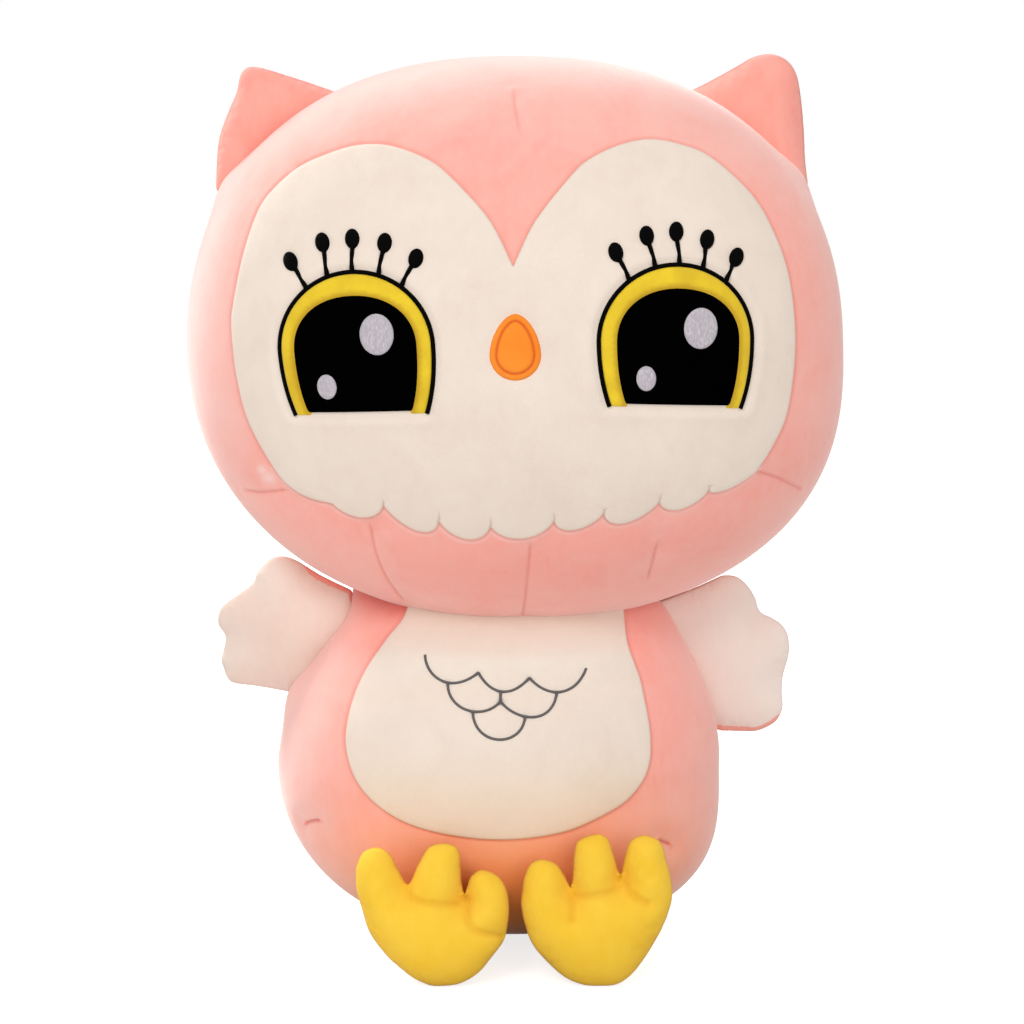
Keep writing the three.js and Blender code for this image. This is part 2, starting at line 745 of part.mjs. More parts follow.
function buildFoot(name, side, owl) {
  const foot = new THREE.Group();
  const soleFront = bodyHalfDepth + footStandOut;
  foot.position.set(side * footSpacingShare * bodyHalfWidth, footHalfDepth - soleFront, 0);
  owl.add(foot);
  const forms = footForms(name, side);
  const floor = aboveFloor(0);
  const hinge = new THREE.Vector3(0, bodyFrontAt(footHingeHeight) - foot.position.y, footHingeHeight);
  const axis = new THREE.Vector3(1, 0, 0);
  const body = seenFrom(foot, placedForm(bodyForm, bodyCentre, sewnGap));
  const belly = solidOf(seenFrom(foot, bellyPatchPlace(sewnGap)));
  const cutters = [...sweptObstacle(body, hinge, axis, bendsOver(0, -footBend, footStops)), belly];
  const solids = {
    outside: cutBy(footSolid(forms, 0, 'outer').intersect(floor), cutters),
    inside: footSolid(forms, limbCoverThickness, 'inner'),
    filling: cutBy(footSolid(forms, limbCoverThickness + stuffingGap, 'inner'), cutters),
  };
  foot.add(...sewnPieces([`foot_${name}_sole`, `foot_${name}_instep`, `foot_${name}_filling`], solids, 0,
    [yellowPlush, yellowPlush]));
}

// The belly patch and a gap all round it, in its place on the owl
function bellyPatchPlace(gap) {
  const outline = moved(bellyOutline(gap), 0, bellyCentreRise);
  const patch = layer(bodyForm, prism(outline), 0, sewnGap + feltThickness + gap);
  return geometryOf(patch).translate(bodyCentre.x, bodyCentre.y, bodyCentre.z);
}

function bodyFrontAt(height) {
  const share = ((waistHeight - height) / bodyForm.drop) ** bodyForm.dropPower;
  return -bodyHalfDepth * (1 - share) ** (1 / bodyForm.dropPower);
}

// The whole owl
const owl = new THREE.Group();
const torso = new THREE.Group();
torso.position.copy(bodyCentre);
owl.add(torso);
buildBody(torso);
const head = buildHead();
owl.add(head);
for (const [name, side] of Object.entries(sides)) {
  buildEar(name, side, head);
  buildWing(name, side, owl);
  buildFoot(name, side, owl);
}

export default owl;
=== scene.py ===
import json
import math
from dataclasses import dataclass

import bmesh
import bpy
import numpy as np
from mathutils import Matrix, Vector
from mathutils.geometry import delaunay_2d_cdt


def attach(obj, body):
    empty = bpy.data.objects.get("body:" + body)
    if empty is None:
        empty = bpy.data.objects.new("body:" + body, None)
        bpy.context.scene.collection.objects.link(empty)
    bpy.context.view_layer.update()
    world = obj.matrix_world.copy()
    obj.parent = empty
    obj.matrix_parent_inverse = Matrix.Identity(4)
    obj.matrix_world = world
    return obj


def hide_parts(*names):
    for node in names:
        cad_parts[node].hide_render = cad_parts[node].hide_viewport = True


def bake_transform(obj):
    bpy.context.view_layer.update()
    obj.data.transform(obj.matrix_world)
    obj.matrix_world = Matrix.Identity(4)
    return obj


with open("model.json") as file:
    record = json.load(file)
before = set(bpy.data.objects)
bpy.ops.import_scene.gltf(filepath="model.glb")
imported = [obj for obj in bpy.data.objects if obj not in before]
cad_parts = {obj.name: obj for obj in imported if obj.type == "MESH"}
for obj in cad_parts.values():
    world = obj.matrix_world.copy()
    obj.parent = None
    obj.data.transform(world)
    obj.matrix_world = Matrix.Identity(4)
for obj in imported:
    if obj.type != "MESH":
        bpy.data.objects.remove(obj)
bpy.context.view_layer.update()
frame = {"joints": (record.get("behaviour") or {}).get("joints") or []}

# A stuffed owl in short-pile cloth. Sizes are in millimetres and the owl's left is +X.
MM = 0.001

# Head and body, as in the construction
HEAD = dict(centre=(0, 0, 297.7), half_width=167.3, half_depth=112, rise=151, drop=134.5,
            girth_power=2.2, rise_power=2.3, drop_power=2.22, sag=4.2, sag_top=15, sag_depth=110)
BODY = dict(centre=(-8.5, 0, 88), half_width=115, half_depth=92, rise=122, drop=88.5,
            girth_power=2.2, rise_power=1.72, drop_power=2.55, sag=6.6, sag_top=-2, sag_depth=70,
            lean=0.062, slim=0.33, slim_from=62, slim_over=24)
HEAD_SEAM_SETBACK = 6
NECK_TUCK = 8

# Face, as shares of the head's half width and of its rise, or of its own drop
FACE_DROP = 132.8
FACE_RIGHT_EDGE_SHARES = [
    (-0.006, 0.323), (-0.054, 0.433), (-0.101, 0.506), (-0.188, 0.606), (-0.246, 0.654),
    (-0.323, 0.689), (-0.392, 0.704), (-0.472, 0.698), (-0.562, 0.666), (-0.63, 0.631), (-0.693, 0.573),
    (-0.745, 0.5), (-0.79, 0.36), (-0.822, 0.195), (-0.828, 0.118), (-0.814, -0.04), (-0.778, -0.216),
    (-0.7, -0.394), (-0.655, -0.454), (-0.603, -0.489), (-0.531, -0.507),
]
FACE_LEFT_EDGE_SHARES = [
    (0.704, -0.391), (0.75, -0.302), (0.795, -0.17), (0.817, 0.062), (0.798, 0.275), (0.75, 0.428),
    (0.686, 0.545), (0.571, 0.66), (0.479, 0.704), (0.384, 0.72), (0.293, 0.7), (0.208, 0.655),
    (0.159, 0.606), (0.084, 0.506), (0.04, 0.433), (-0.006, 0.323),
]
FACE_CUSP_SHARES = [
    (-0.531, -0.507), (-0.38, -0.507), (-0.22, -0.563), (-0.071, -0.582), (0.111, -0.561),
    (0.254, -0.533), (0.414, -0.495), (0.559, -0.458), (0.704, -0.391),
]
FACE_LOW_SHARES = [
    (-0.443, -0.557), (-0.281, -0.602), (-0.137, -0.631), (0.02, -0.627), (0.17, -0.594),
    (0.315, -0.571), (0.476, -0.524), (0.62, -0.454),
]
SCALLOP_TUCK = 0.22
CUSP_TICK = 2.8

# Eyes
EYE_PLACES = {"left": (76.3, 12.7), "right": (-75.7, 9.3)}
EYE = dict(half_width=38.2, rise=37.3, drop=62, power=2.0, lower_edge=31.5)
EYE_TILT = 2.3
EYE_LEAN = 0.035
EYE_THREAD = 2.2
EYE_THREAD_HEIGHT = 1.1
PUPIL = dict(half_width=29.8, rise=25.3, drop=53, power=2.15, lower_edge=29.9)
IRIS_UNDER_THREAD = 0.3
IRIS_UNDER_PUPIL = 1.5
IRIS_SHADE = (0.6, 1.4)
PUPIL_ASIDE = {"left": 0.8, "right": 0}
GLINTS = {"large": (10.9, 6.5, 8.2, 9.8), "small": (-14.7, -17.7, 4.8, 6)}

# Each lash, from the middle of its fan: the angle of its foot, the angle of its tip and its reach
LASH_CENTRE_DROP = 4
LASHES = {
    "left": [(-36.3, -34.4, 54.4), (-16.5, -17.1, 55.6), (0.2, -2.3, 55.6), (16.7, 13.8, 54),
             (35, 31.8, 52.3)],
    "right": [(-34.5, -33, 54.8), (-17.9, -14.3, 56.2), (-0.4, 0.7, 55.7), (18, 16.8, 55.6),
              (35.2, 34, 54.8)],
}
LASH_THREAD = 2.2
LASH_THREAD_HEIGHT = 0.8
LASH_LIFT = 0.6
LASH_BOW = 2
LASH_OVAL = (3.5, 4.7)

# Beak, belly and chest feathers
BEAK = dict(half_width=12.4, rise=19.6, drop=12.2, centre_rise=6.9)
BEAK_POINT = 1.75
BEAK_STITCH_INSET = 3.5
BEAK_STITCH_LIFT = 0.9
BEAK_THREAD = 0.7
BEAK_THREAD_HEIGHT = 0.35
BEAK_GROOVE = (1.0, 0.7)
BEAK_SHADE = (0.9, 0.6)
BEAK_EDGE_SHADE = (0.5, 0.5)
BELLY_EDGE_PLACES = [
    (62, 92), (62.5, 82), (63.5, 69.7), (66.7, 60.5), (70, 51.2), (73.7, 32.5), (74.6, 23), (74.1, 13.8),
    (70.5, 4.6), (62.1, -4.3), (50, -10.6), (35.2, -16.4), (18, -19.5), (1.2, -20.5), (-15, -19.6),
    (-32.9, -16.8), (-48, -12), (-60.8, -4.1), (-68.8, 4.8), (-72.8, 13.9), (-74.5, 23.2), (-73.6, 32.6),
    (-71.2, 42), (-67.4, 51.5), (-62, 61), (-54.7, 70.5), (-46.5, 80), (-43, 92),
]
BELLY_GROWTH = 1.6
FEATHER_WIDTH = 26.6
FEATHER_TOP_RISE = 58
FEATHER_THREAD = 1.4
FEATHER_THREAD_HEIGHT = 0.75
FEATHER_SHARES = [
    [(-1.352, 0.278), (-1.32, -0.12), (-0.83, -0.36), (-0.36, 0.019)],
    [(-0.36, 0.019), (-0.12, -0.38), (0.25, -0.42), (0.583, -0.069)],
    [(0.583, -0.069), (0.93, -0.46), (1.45, -0.4), (1.634, 0.06)],
    [(-0.925, -0.17), (-0.93, -0.66), (-0.25, -0.82), (0.051, -0.473)],
    [(0.051, -0.473), (0.3, -0.8), (1.0, -0.94), (1.089, -0.33)],
    [(-0.461, -0.67), (-0.42, -1.29), (0.46, -1.29), (0.502, -0.74)],
    [(0.051, -0.473), (0.05, -0.43), (0.05, -0.38), (0.051, -0.31)],
]

# Ears
EAR_BASE_CENTRE = (122, 109)
EAR_SLOPE = 39.4
EAR_ROOT = (33, -38)
EAR_HALF_THICKNESS = 13
EAR_SUNK = 12
EAR_EDGES = {
    "left": [(35.5, 0), (26.2, 8.9), (18.7, 17.1), (10.6, 25.5), (3.6, 32.1), (-4.4, 38.5), (-11.1, 40.9),
             (-17.3, 40.3), (-22.6, 37.2), (-27.4, 31), (-31, 21.9), (-34.4, 13.5), (-37.6, 5.7),
             (-41, -2), (-43, -8)],
    "right": [(39.4, 0), (31, 9.6), (21.2, 19.2), (9.2, 26.3), (-0.6, 31.2), (-5.5, 35), (-9.1, 37),
              (-12.7, 36.9), (-15.7, 34.5), (-19.3, 30.2), (-27, 18.7), (-31.2, 12.2), (-35, 5.9),
              (-39, -1), (-42, -8)],
}

# Wings
WING_HALF_THICKNESS = 9.5
WING_SUNK = 12
WING_BACK_SHOWS = {"left": 3.4, "right": 2.5}
WING_WRAP = 1.2
WING_CLEARANCE = 2.5
WING_BACK_RAMPS = {"left": ((36, -8), (10, -5)), "right": ((38, -15), (35, 8))}
# Painted shade along the seam and on the lower part of the right wing, and painted light over all of the
# left wing
WING_SEAM_SHADE = 0.15
WING_SHADE = 0.2
WING_SHADE_RAMP = (45, -30)
WING_PALE = 0.28
WING_ROOTS = {"left": (105.7, 166.8), "right": (124.9, 169.4)}
WING_EDGES = {
    "left": [(1.7, -5.4), (9.9, -10.1), (17.7, -14), (26.5, -14.6), (31.5, -12.6), (35.2, -9), (38.5, -2),
             (42.6, 4.6), (46.3, 8.7), (50, 12.6), (52.6, 16.5), (54.9, 22.4), (54.9, 28.5), (52, 34.6),
             (48.7, 39), (48.2, 43.4), (49.2, 47.6), (49, 54), (46.8, 61), (43, 64.7), (37, 67.2),
             (29.2, 69), (15.7, 71), (5.3, 73.5)],
    "right": [(1.7, -4), (15.4, -9.8), (23, -13.4), (28.8, -15.7), (32.9, -14.4), (36.3, -11.6),
              (39.3, -9.1), (41.2, -4), (43.2, 1), (45.1, 3.5), (50.8, 6.1), (53.4, 10.4), (54, 14.8),
              (52.3, 20), (50, 26), (48, 31), (47.3, 35.3), (48.4, 39), (48.1, 42.3), (46.8, 48.9),
              (42.4, 53.7), (34.6, 56), (20.5, 56.4), (3, 58.5)],
}

# Feet
FOOT_SPACING = 40
FOOT_FRONT = 113.5
FOOT_LEAN = 11
FOOT_HALF_THICKNESS = 15
FOOT_HEEL_SHARE = 2.6
FOOT_HEEL_TOP = (60, 25)
FOOT_HEEL_RISE = 18
FOOT_CLEARANCE = 0.5
TOE_GROOVE = (1.7, 1.6)
TOE_DENT = (2.4, 6)
TOE_SHADE = (0.32, 1.5)
TOE_CREASE_ROOM = 4
FOOT_EDGES = {
    "left": [(-13.3, 46), (-16.7, 52.7), (-20.1, 57.5), (-26.4, 59.9), (-32, 58), (-35, 52), (-36.2, 45),
             (-36.6, 37.3), (-33.7, 25), (-28.4, 15.7), (-17.3, 5.1), (-8.1, 0.8), (0.9, -0.1), (10.3, 1.3),
             (18.6, 8), (27.1, 20.5), (32.7, 31.5), (35.6, 41.6), (35.2, 50.3), (33.2, 59), (31.1, 66.7),
             (28, 70.1), (21.7, 71.5), (16.1, 68.6), (13.4, 60.8), (11.4, 51.3), (9.6, 55), (7.6, 61.9),
             (5.1, 69.1), (2.7, 71.5), (-1.2, 72), (-8.9, 69.1), (-10.9, 62.8), (-11.9, 50.3)],
    "right": [(36.9, 56.1), (36.6, 46), (34.2, 37.3), (30.2, 25.3), (22.4, 14.7), (15.6, 8.5), (9.1, 3.7),
              (1.3, 0.3), (-4.7, -0.1), (-13.6, 1.3), (-22.1, 6.3), (-28.9, 14.2), (-33.2, 20), (-35.2, 25),
              (-36.6, 36.1), (-35.2, 46), (-31.2, 52), (-24, 54.9), (-19.2, 52.2), (-17.1, 47),
              (-15.6, 41.6), (-13.8, 48.4), (-13.2, 56), (-12.6, 63.5), (-9.9, 66.7), (-4.5, 67.6),
              (1.6, 65.8), (6.6, 58), (11.9, 47.7), (17.2, 55.6), (21, 62.5), (27, 65.7), (33.6, 63.3)],
}
FOOT_CREASES = {
    "left": [[(-12.4, 44), (-9, 42.6), (7.5, 45.7), (11.6, 50.8)],
             [(11.8, 50.4), (16.7, 43.8), (23.6, 39.7)],
             [(-12.4, 44), (-12.9, 32)]],
    "right": [[(11.5, 46), (8.5, 41.4), (-5.1, 39.2), (-14.3, 39.2)],
              [(-15.8, 41), (-18.2, 29.6), (-23.5, 25.8), (-33.2, 23.8)]],
}

SMOOTHING_LOSS = 0.7
FLAT_SHARE = 0.75

# The spacing of each layer's points, and how far in from its edge its first rows lie
LAYER_TILES = {
    "face": (3.2, (0.35, 0.8, 1.5, 2.8, 4.8)),
    "belly": (3.0, (0.35, 0.8, 1.5, 2.8, 4.8)),
    "tip": (1.2, (0.3, 0.8, 1.5)),
    "iris": (1.8, (0.4, 1.0, 1.9)),
    "pupil": (3.0, (0.3, 0.8, 1.6, 3)),
    "glint": (1.6, (0.3, 0.8, 1.5)),
    "beak": (1.6, (0.3, 0.8, 1.4)),
}

# Where each layer's edge starts over the face, how much its middle rises, and over what distance
LAYER_PLUMPS = {
    "tip": (0.5, 1.1, 2.2),
    "iris": (-0.3, 1.9, 3.6),
    "pupil": (0.5, 1.0, 2.0),
    "glint": (1.3, 1.0, 2.2),
    "beak": (-0.6, 2.6, 5.0),
}

# The points beside each kind of sewing: their spacing along it, their places aside and their room
SEWN_ROWS = {
    "eye": (1.2, (1.6, 0.4, -0.8, -2.0, -3.4, -5.0), 1.1),
    "stem": (1.2, (-2.2, -1, 0, 1, 2.2), 0.8),
    "beak": (1.2, (1.5, 0.3, -1, -2.4), 1.0),
    "tick": (0.7, (-1.4, -0.7, 0, 0.7, 1.4), 0.5),
    "stitch": (0.9, (-1.2, -0.6, 0, 0.6, 1.2), 0.5),
    "feather": (1.2, (-2.6, -1.2, 0, 1.2, 2.6), 0.9),
}
TIP_ROWS = (0.4, 1.6, 3.0)
TIP_ROOM = 0.8

SIDES = {"left": 1, "right": -1}
FRONT = -1


def smooth(share):
    """From 0 to 1 with soft ends."""
    share = np.clip(share, 0, 1)
    return share * share * (3 - 2 * share)


def ramp(value, start, over):
    """From 0 at a start to 1 over a distance, which is less than zero where it runs down."""
    return smooth((value - start) / over)


def rounded(share):
    """A quarter circle from 0 to 1."""
    return np.sqrt(1 - (1 - np.clip(share, 0, 1)) ** 2)


def bell(away, reach):
    """1 in the middle of something, falling off softly over a reach."""
    return np.exp(-(away / reach) ** 2)


def hump(away, size):
    """A soft hump, from its height and its reach."""
    height, reach = size
    return height * bell(away, reach)


def length(vectors):
    return np.linalg.norm(vectors, axis=-1)


def unit(vectors):
    return vectors / np.maximum(length(vectors), 1e-9)[..., None]


# Forms
FORM_DEFAULTS = dict(sag=0, sag_top=0, sag_depth=1, lean=0, slim=0, slim_from=0, slim_over=1)


class Form:
    """A stuffed ball with its own height and roundness above and below its widest line."""

    def __init__(self, centre, **sizes):
        self.centre = np.array(centre, float)
        for name, value in {**FORM_DEFAULTS, **sizes}.items():
            setattr(self, name, value)

    def sideways(self, up):
        """How far the stuffing has slumped to the left at heights above the centre."""
        return self.sag * ramp(up, self.sag_top, -self.sag_depth) + self.lean * np.maximum(up, 0)

    def fullness(self, up):
        """The share of its depth that the form keeps at heights above the centre."""
        return 1 - self.slim * ramp(up, self.slim_from, self.slim_over)

    def terms(self, points):
        local = points - self.centre
        local[:, 0] -= self.sideways(local[:, 2])
        local[:, 1] /= self.fullness(local[:, 2])
        up = local[:, 2] > 0
        height = np.where(up, self.rise, self.drop)
        power = np.where(up, self.rise_power, self.drop_power)
        wide = np.abs(local[:, 0]) / self.half_width
        deep = np.abs(local[:, 1]) / self.half_depth
        return local, height, power, wide, deep

    def level(self, points):
        """A value that is 1 on the form and less inside it, and the power that it grows with."""
        local, height, power, wide, deep = self.terms(points)
        girth = wide ** self.girth_power + deep ** self.girth_power
        return girth ** (power / self.girth_power) + (np.abs(local[:, 2]) / height) ** power, power

    def onto(self, points):
        """The points moved to the form along lines from its centre, before the slump."""
        value, power = self.level(points)
        local = self.terms(points)[0] * (value ** (-1 / power))[:, None]
        local[:, 0] += self.sideways(local[:, 2])
        local[:, 1] *= self.fullness(local[:, 2])
        return self.centre + local

    def normals(self, points):
        steps = np.eye(3) * 0.01
        slope = np.stack([self.level(points + step)[0] - self.level(points - step)[0] for step in steps], 1)
        return unit(slope)

    def front(self, flat):
        """The points of the form's front that lie at these places across and up from its centre."""
        up = flat[:, 1] > 0
        height = np.where(up, self.rise, self.drop)
        power = np.where(up, self.rise_power, self.drop_power)
        girth = np.maximum(1 - (np.abs(flat[:, 1]) / height) ** power, 0) ** (self.girth_power / power)
        across = np.abs(flat[:, 0] - self.sideways(flat[:, 1]))
        deep = np.maximum(girth - (across / self.half_width) ** self.girth_power, 0)
        y = FRONT * self.half_depth * deep ** (1 / self.girth_power) * self.fullness(flat[:, 1])
        return self.centre + np.stack([flat[:, 0], y, flat[:, 1]], 1)

    def dressed(self, flat, height, lift):
        """Points over the form's front, each at its own height. At the lift they keep their places."""
        on = self.front(flat - self.normals(self.front(flat))[:, (0, 2)] * lift)
        return on + self.normals(on) * np.broadcast_to(height, len(flat))[:, None]


head_form = Form(**HEAD)
body_form = Form(**BODY)


# Lines and outlines
def spline(points, steps):
    """A smooth line through the points, with the same number of steps between each two."""
    points = np.array(points, float)
    before = np.vstack([points[0] * 2 - points[1], points, points[-1] * 2 - points[-2]])
    share = np.linspace(0, 1, steps, endpoint=False)[:, None]
    line = []
    for a, b, c, d in zip(before, before[1:], before[2:], before[3:]):
        line.append(0.5 * (2 * b + (c - a) * share + (2 * a - 5 * b + 4 * c - d) * share ** 2
                           + (3 * b - a - 3 * c + d) * share ** 3))
    return np.vstack(line + [points[-1:]])


def bezier(start, control, end, steps):
    share = np.linspace(0, 1, steps + 1)[:, None]
    start, control, end = (np.array(p, float) for p in (start, control, end))
    return start * (1 - share) ** 2 + 2 * control * share * (1 - share) + end * share ** 2


def cubic(start, first, second, end, steps):
    share = np.linspace(0, 1, steps + 1)[:, None]
    return (start * (1 - share) ** 3 + 3 * first * share * (1 - share) ** 2
            + 3 * second * share ** 2 * (1 - share) + end * share ** 3)


def distances(line):
    """How far each point of a line is along it."""
    return np.concatenate([[0], np.cumsum(length(np.diff(line, axis=0)))])


def even(line, spacing, closed):
    """The same line with its points an even distance apart."""
    line = np.array(line, float)
    if closed:
        line = np.vstack([line, line[:1]])
    along = distances(line)
    count = max(int(round(along[-1] / spacing)), 3)
    at = np.linspace(0, along[-1], count + 1)
    points = np.stack([np.interp(at, along, line[:, k]) for k in range(line.shape[1])], 1)
    return points[:-1] if closed else points


def signed_power(value, power):
    return np.sign(value) * np.abs(value) ** power


def oval(turn, half_width, rise, drop, power):
    """Places at angles round an egg, with its own height above and below its widest line."""
    height = np.where(np.sin(turn) > 0, rise, drop)
    return np.stack([half_width * signed_power(np.cos(turn), 2 / power),
                     height * signed_power(np.sin(turn), 2 / power)], 1)


def arch(half_width, rise, drop, power, lower_edge):
    """An egg with its bottom cut off straight, from its lower right corner over the top to its left."""
    start = -math.asin((lower_edge / drop) ** (power / 2))
    return oval(np.linspace(start, math.pi - start, 97), half_width, rise, drop, power)


def egg(half_width, rise, drop, rise_power=2, steps=72):
    turn = np.linspace(0, 2 * math.pi, steps, endpoint=False)
    return oval(turn, half_width, rise, drop, np.where(np.sin(turn) > 0, rise_power, 2))


def turned(points, angle):
    """Points in the XZ plane turned anticlockwise, seen from the front."""
    cos, sin = math.cos(angle), math.sin(angle)
    return points @ np.array([[cos, sin], [-sin, cos]])


def line_distance(points, line, closed=False):
    """Distance from each point to a line, in as many dimensions as they have."""
    ends = np.roll(line, -1, axis=0) if closed else line[1:]
    best = np.full(len(points), np.inf)
    for start, end in zip(line, ends):
        along = end - start
        rest = points - start
        share = np.clip(rest @ along / max(along @ along, 1e-12), 0, 1)
        best = np.minimum(best, length(rest - share[:, None] * along))
    return best


def inside(points, outline):
    """Which points lie in a closed outline."""
    found = np.zeros(len(points), bool)
    for (x0, z0), (x1, z1) in zip(outline, np.roll(outline, -1, axis=0)):
        if z0 == z1:
            continue
        crossed = (z0 > points[:, 1]) != (z1 > points[:, 1])
        found ^= crossed & (points[:, 0] < x0 + (points[:, 1] - z0) * (x1 - x0) / (z1 - z0))
    return found


def headings(line, closed):
    """The unit direction along a line at each of its points."""
    if closed:
        return unit(np.roll(line, -1, axis=0) - np.roll(line, 1, axis=0))
    return unit(np.gradient(line, axis=0))


def sideways(line, closed):
    """The unit direction to the left of a flat line at each of its points."""
    along = headings(line, closed)
    return np.stack([-along[:, 1], along[:, 0]], 1)


def grown(outline, amount):
    """A closed outline that runs anticlockwise, moved out."""
    return outline - sideways(outline, True) * amount


# Shapes
LAYER_LIFT = 1.4
BAND_SINK = 0.8
BAND_SPACING = 0.6


class Shape:
    """Points in millimetres, faces, and named values at the points that the materials read."""

    def __init__(self, points, faces, **marks):
        self.points = np.array(points, float)
        self.faces = [tuple(int(v) for v in face) for face in faces]
        self.marks = {name: np.broadcast_to(value, len(self.points)).astype(float)
                      for name, value in marks.items()}

    def with_others(self, *others):
        for other in others:
            start = len(self.points)
            self.faces += [tuple(v + start for v in face) for face in other.faces]
            for name in set(self.marks) | set(other.marks):
                values = [shape.marks.get(name, np.zeros(len(shape.points))) for shape in (self, other)]
                self.marks[name] = np.concatenate(values)
            self.points = np.vstack([self.points, other.points])
        return self


def linked(name, points, faces, marks=None):
    """A mesh object in the scene, with named values at its points."""
    mesh = bpy.data.meshes.new(name)
    mesh.from_pydata(points.tolist(), [], faces)
    for mark, values in (marks or {}).items():
        mesh.attributes.new(mark, "FLOAT", "POINT").data.foreach_set("value", values.astype(np.float32))
    return added(name, mesh)


def added(name, data):
    """An object of some data, in the scene."""
    thing = bpy.data.objects.new(name, data)
    bpy.context.scene.collection.objects.link(thing)
    return thing


def mesh_object(name, shape, material):
    """A smooth mesh object with its faces pointing out."""
    thing = linked(name, shape.points * MM, shape.faces, shape.marks)
    mesh = thing.data
    tidy = bmesh.new()
    tidy.from_mesh(mesh)
    bmesh.ops.recalc_face_normals(tidy, faces=tidy.faces)
    tidy.to_mesh(mesh)
    tidy.free()
    mesh.shade_smooth()
    mesh.materials.append(material)
    return thing


def piece(name, shape, material, slot, nodes, body):
    thing = mesh_object(name, shape, material)
    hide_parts(*nodes)
    if body == "neck":
        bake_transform(thing)
    else:
        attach(thing, body)
    return thing


def tiled(outline, spacing, rings, extra=()):
    """An outline filled with triangles: rings of points along its edge, and a grid within."""
    left = sideways(outline, True)
    points = [outline]
    for ring in rings:
        inner = outline + left * ring
        points.append(inner[inside(inner, outline) & (line_distance(inner, outline, True) > 0.93 * ring)])
    low, high = outline.min(0), outline.max(0)
    rows = np.arange(low[1], high[1], spacing * math.sqrt(3) / 2)
    columns = np.arange(low[0], high[0], spacing)
    grid = np.array([(x + (row % 2) * spacing / 2, z) for row, z in enumerate(rows) for x in columns])
    grid = grid[inside(grid, outline)]
    clear = rings[-1] + spacing * 0.6 if rings else spacing * 0.6
    grid = grid[line_distance(grid, outline, True) > clear]
    for line_points, room in extra:
        near = line_points[inside(line_points, outline)]
        near = near[line_distance(near, outline, True) > 0.3]
        points = [points[0]] + [p[point_distance(p, near) > room] for p in points[1:]]
        grid = grid[point_distance(grid, near) > room]
        points.append(near)
    flat = np.vstack(points + [grid])
    count = len(outline)
    edges = [(k, (k + 1) % count) for k in range(count)]
    made = delaunay_2d_cdt([Vector(p) for p in flat], edges, [], 1, 1e-7)
    flat = np.array([tuple(p) for p in made[0]])
    faces = [tuple(face) for face in made[2]]
    a, b, c = (flat[[face[k] for face in faces]] for k in range(3))
    area = (b[:, 0] - a[:, 0]) * (c[:, 1] - a[:, 1]) - (c[:, 0] - a[:, 0]) * (b[:, 1] - a[:, 1])
    faces = [face if turn > 0 else face[::-1] for face, turn in zip(faces, area)]
    return flat, faces, count


def point_distance(points, others):
    """Distance from each point to the nearest of some other points."""
    best = np.full(len(points), np.inf)
    for start in range(0, len(others), 200):
        chunk = others[start:start + 200]
        best = np.minimum(best, length(points[:, None] - chunk[None]).min(1))
    return best


def patch(form, outline, layer, height=None, sink=1.0, extra=(), marks=None):
    """Cloth sewn on a form, with a height for each place on it and an edge that rolls over."""
    flat, faces, count = tiled(outline, *LAYER_TILES[layer], extra)
    away = line_distance(flat, outline, True)
    levels = ((height or plump(layer))(flat, away), -sink)
    top, low = (form.dressed(flat, level, LAYER_LIFT) for level in levels)
    start = len(flat)
    sides = [(k, k + start, (k + 1) % count + start, (k + 1) % count) for k in range(count)]
    under = [tuple(v + start for v in reversed(face)) for face in faces]
    values = {name: np.concatenate([rule(flat, away)] * 2) for name, rule in (marks or {}).items()}
    return Shape(np.vstack([top, low]), faces + sides + under, **values)


def band(points, normals, width, height, closed):
    """A raised line of thread along points, half round on top."""
    points = np.array(points, float)
    across = unit(np.cross(normals, headings(points, closed)))
    lean = np.linspace(0, math.pi, 7)
    section = [(math.cos(a), math.sin(a)) for a in lean] + [(side, -BAND_SINK / height) for side in (-1, 1)]
    rings = [points + across * (side * width / 2) + normals * (up * height) for side, up in section]
    count, around = len(points), len(section)
    verts = np.stack(rings, 1).reshape(-1, 3)
    steps = count if closed else count - 1
    faces = [(k * around + j, k * around + (j + 1) % around,
              (k + 1) % count * around + (j + 1) % around, (k + 1) % count * around + j)
             for k in range(steps) for j in range(around)]
    if not closed:
        faces += [tuple(range(around)), tuple((count - 1) * around + j for j in reversed(range(around)))]
    return Shape(verts, faces, along=np.repeat(distances(points), around))


def face_band(line, lift, width, height, closed=False, form=head_form):
    """A line of thread over the front of a form, from its places across and up."""
    line = even(line, BAND_SPACING, closed)
    normals = form.normals(form.front(line))
    return band(form.dressed(line, lift, lift), normals, width, height, closed)


# Creases
END_SHARE = 0.25


@dataclass
class Crease:
    """A sewn line that pulls the cloth in: a narrow groove in a wide dent, faded at its ends."""

    line: np.ndarray
    depth: float
    width: float
    dent: float
    reach: float
    # Its mark is how much painted shade darkens the groove
    mark: float
    fade: float = 5


def creased(points, normals, creases):
    """The points pulled in along creases, and how much of a crease each one lies in."""
    moved = points.copy()
    mark = np.zeros(len(points))
    for crease in creases:
        low, high = crease.line.min(0) - 3 * crease.reach, crease.line.max(0) + 3 * crease.reach
        near = np.where(((points > low) & (points < high)).all(1))[0]
        if not len(near):
            continue
        away = line_distance(points[near], crease.line)
        strength = np.ones(len(near))
        if crease.fade:
            for end in (crease.line[0], crease.line[-1]):
                gone = length(points[near] - end)
                rising = END_SHARE + (1 - END_SHARE) * np.clip(gone / crease.fade, 0, 1)
                strength = np.minimum(strength, rising)
        groove = crease.depth * bell(away, crease.width)
        dent = crease.dent * bell(away, crease.reach)
        moved[near] -= normals[near] * ((groove + dent) * strength)[:, None]
        # Painted shade along the groove
        line = crease.mark * bell(away, crease.width) * strength
        mark[near] = np.maximum(mark[near], line)
    return moved, mark


def swollen(points, normals, swells):
    """How the points move where the stuffing bulges, from the bulges' places, heights and reaches."""
    height = np.zeros(len(points))
    for place, most, reach in swells:
        height += most * bell(length(points - place), reach)
    return normals * height[:, None]


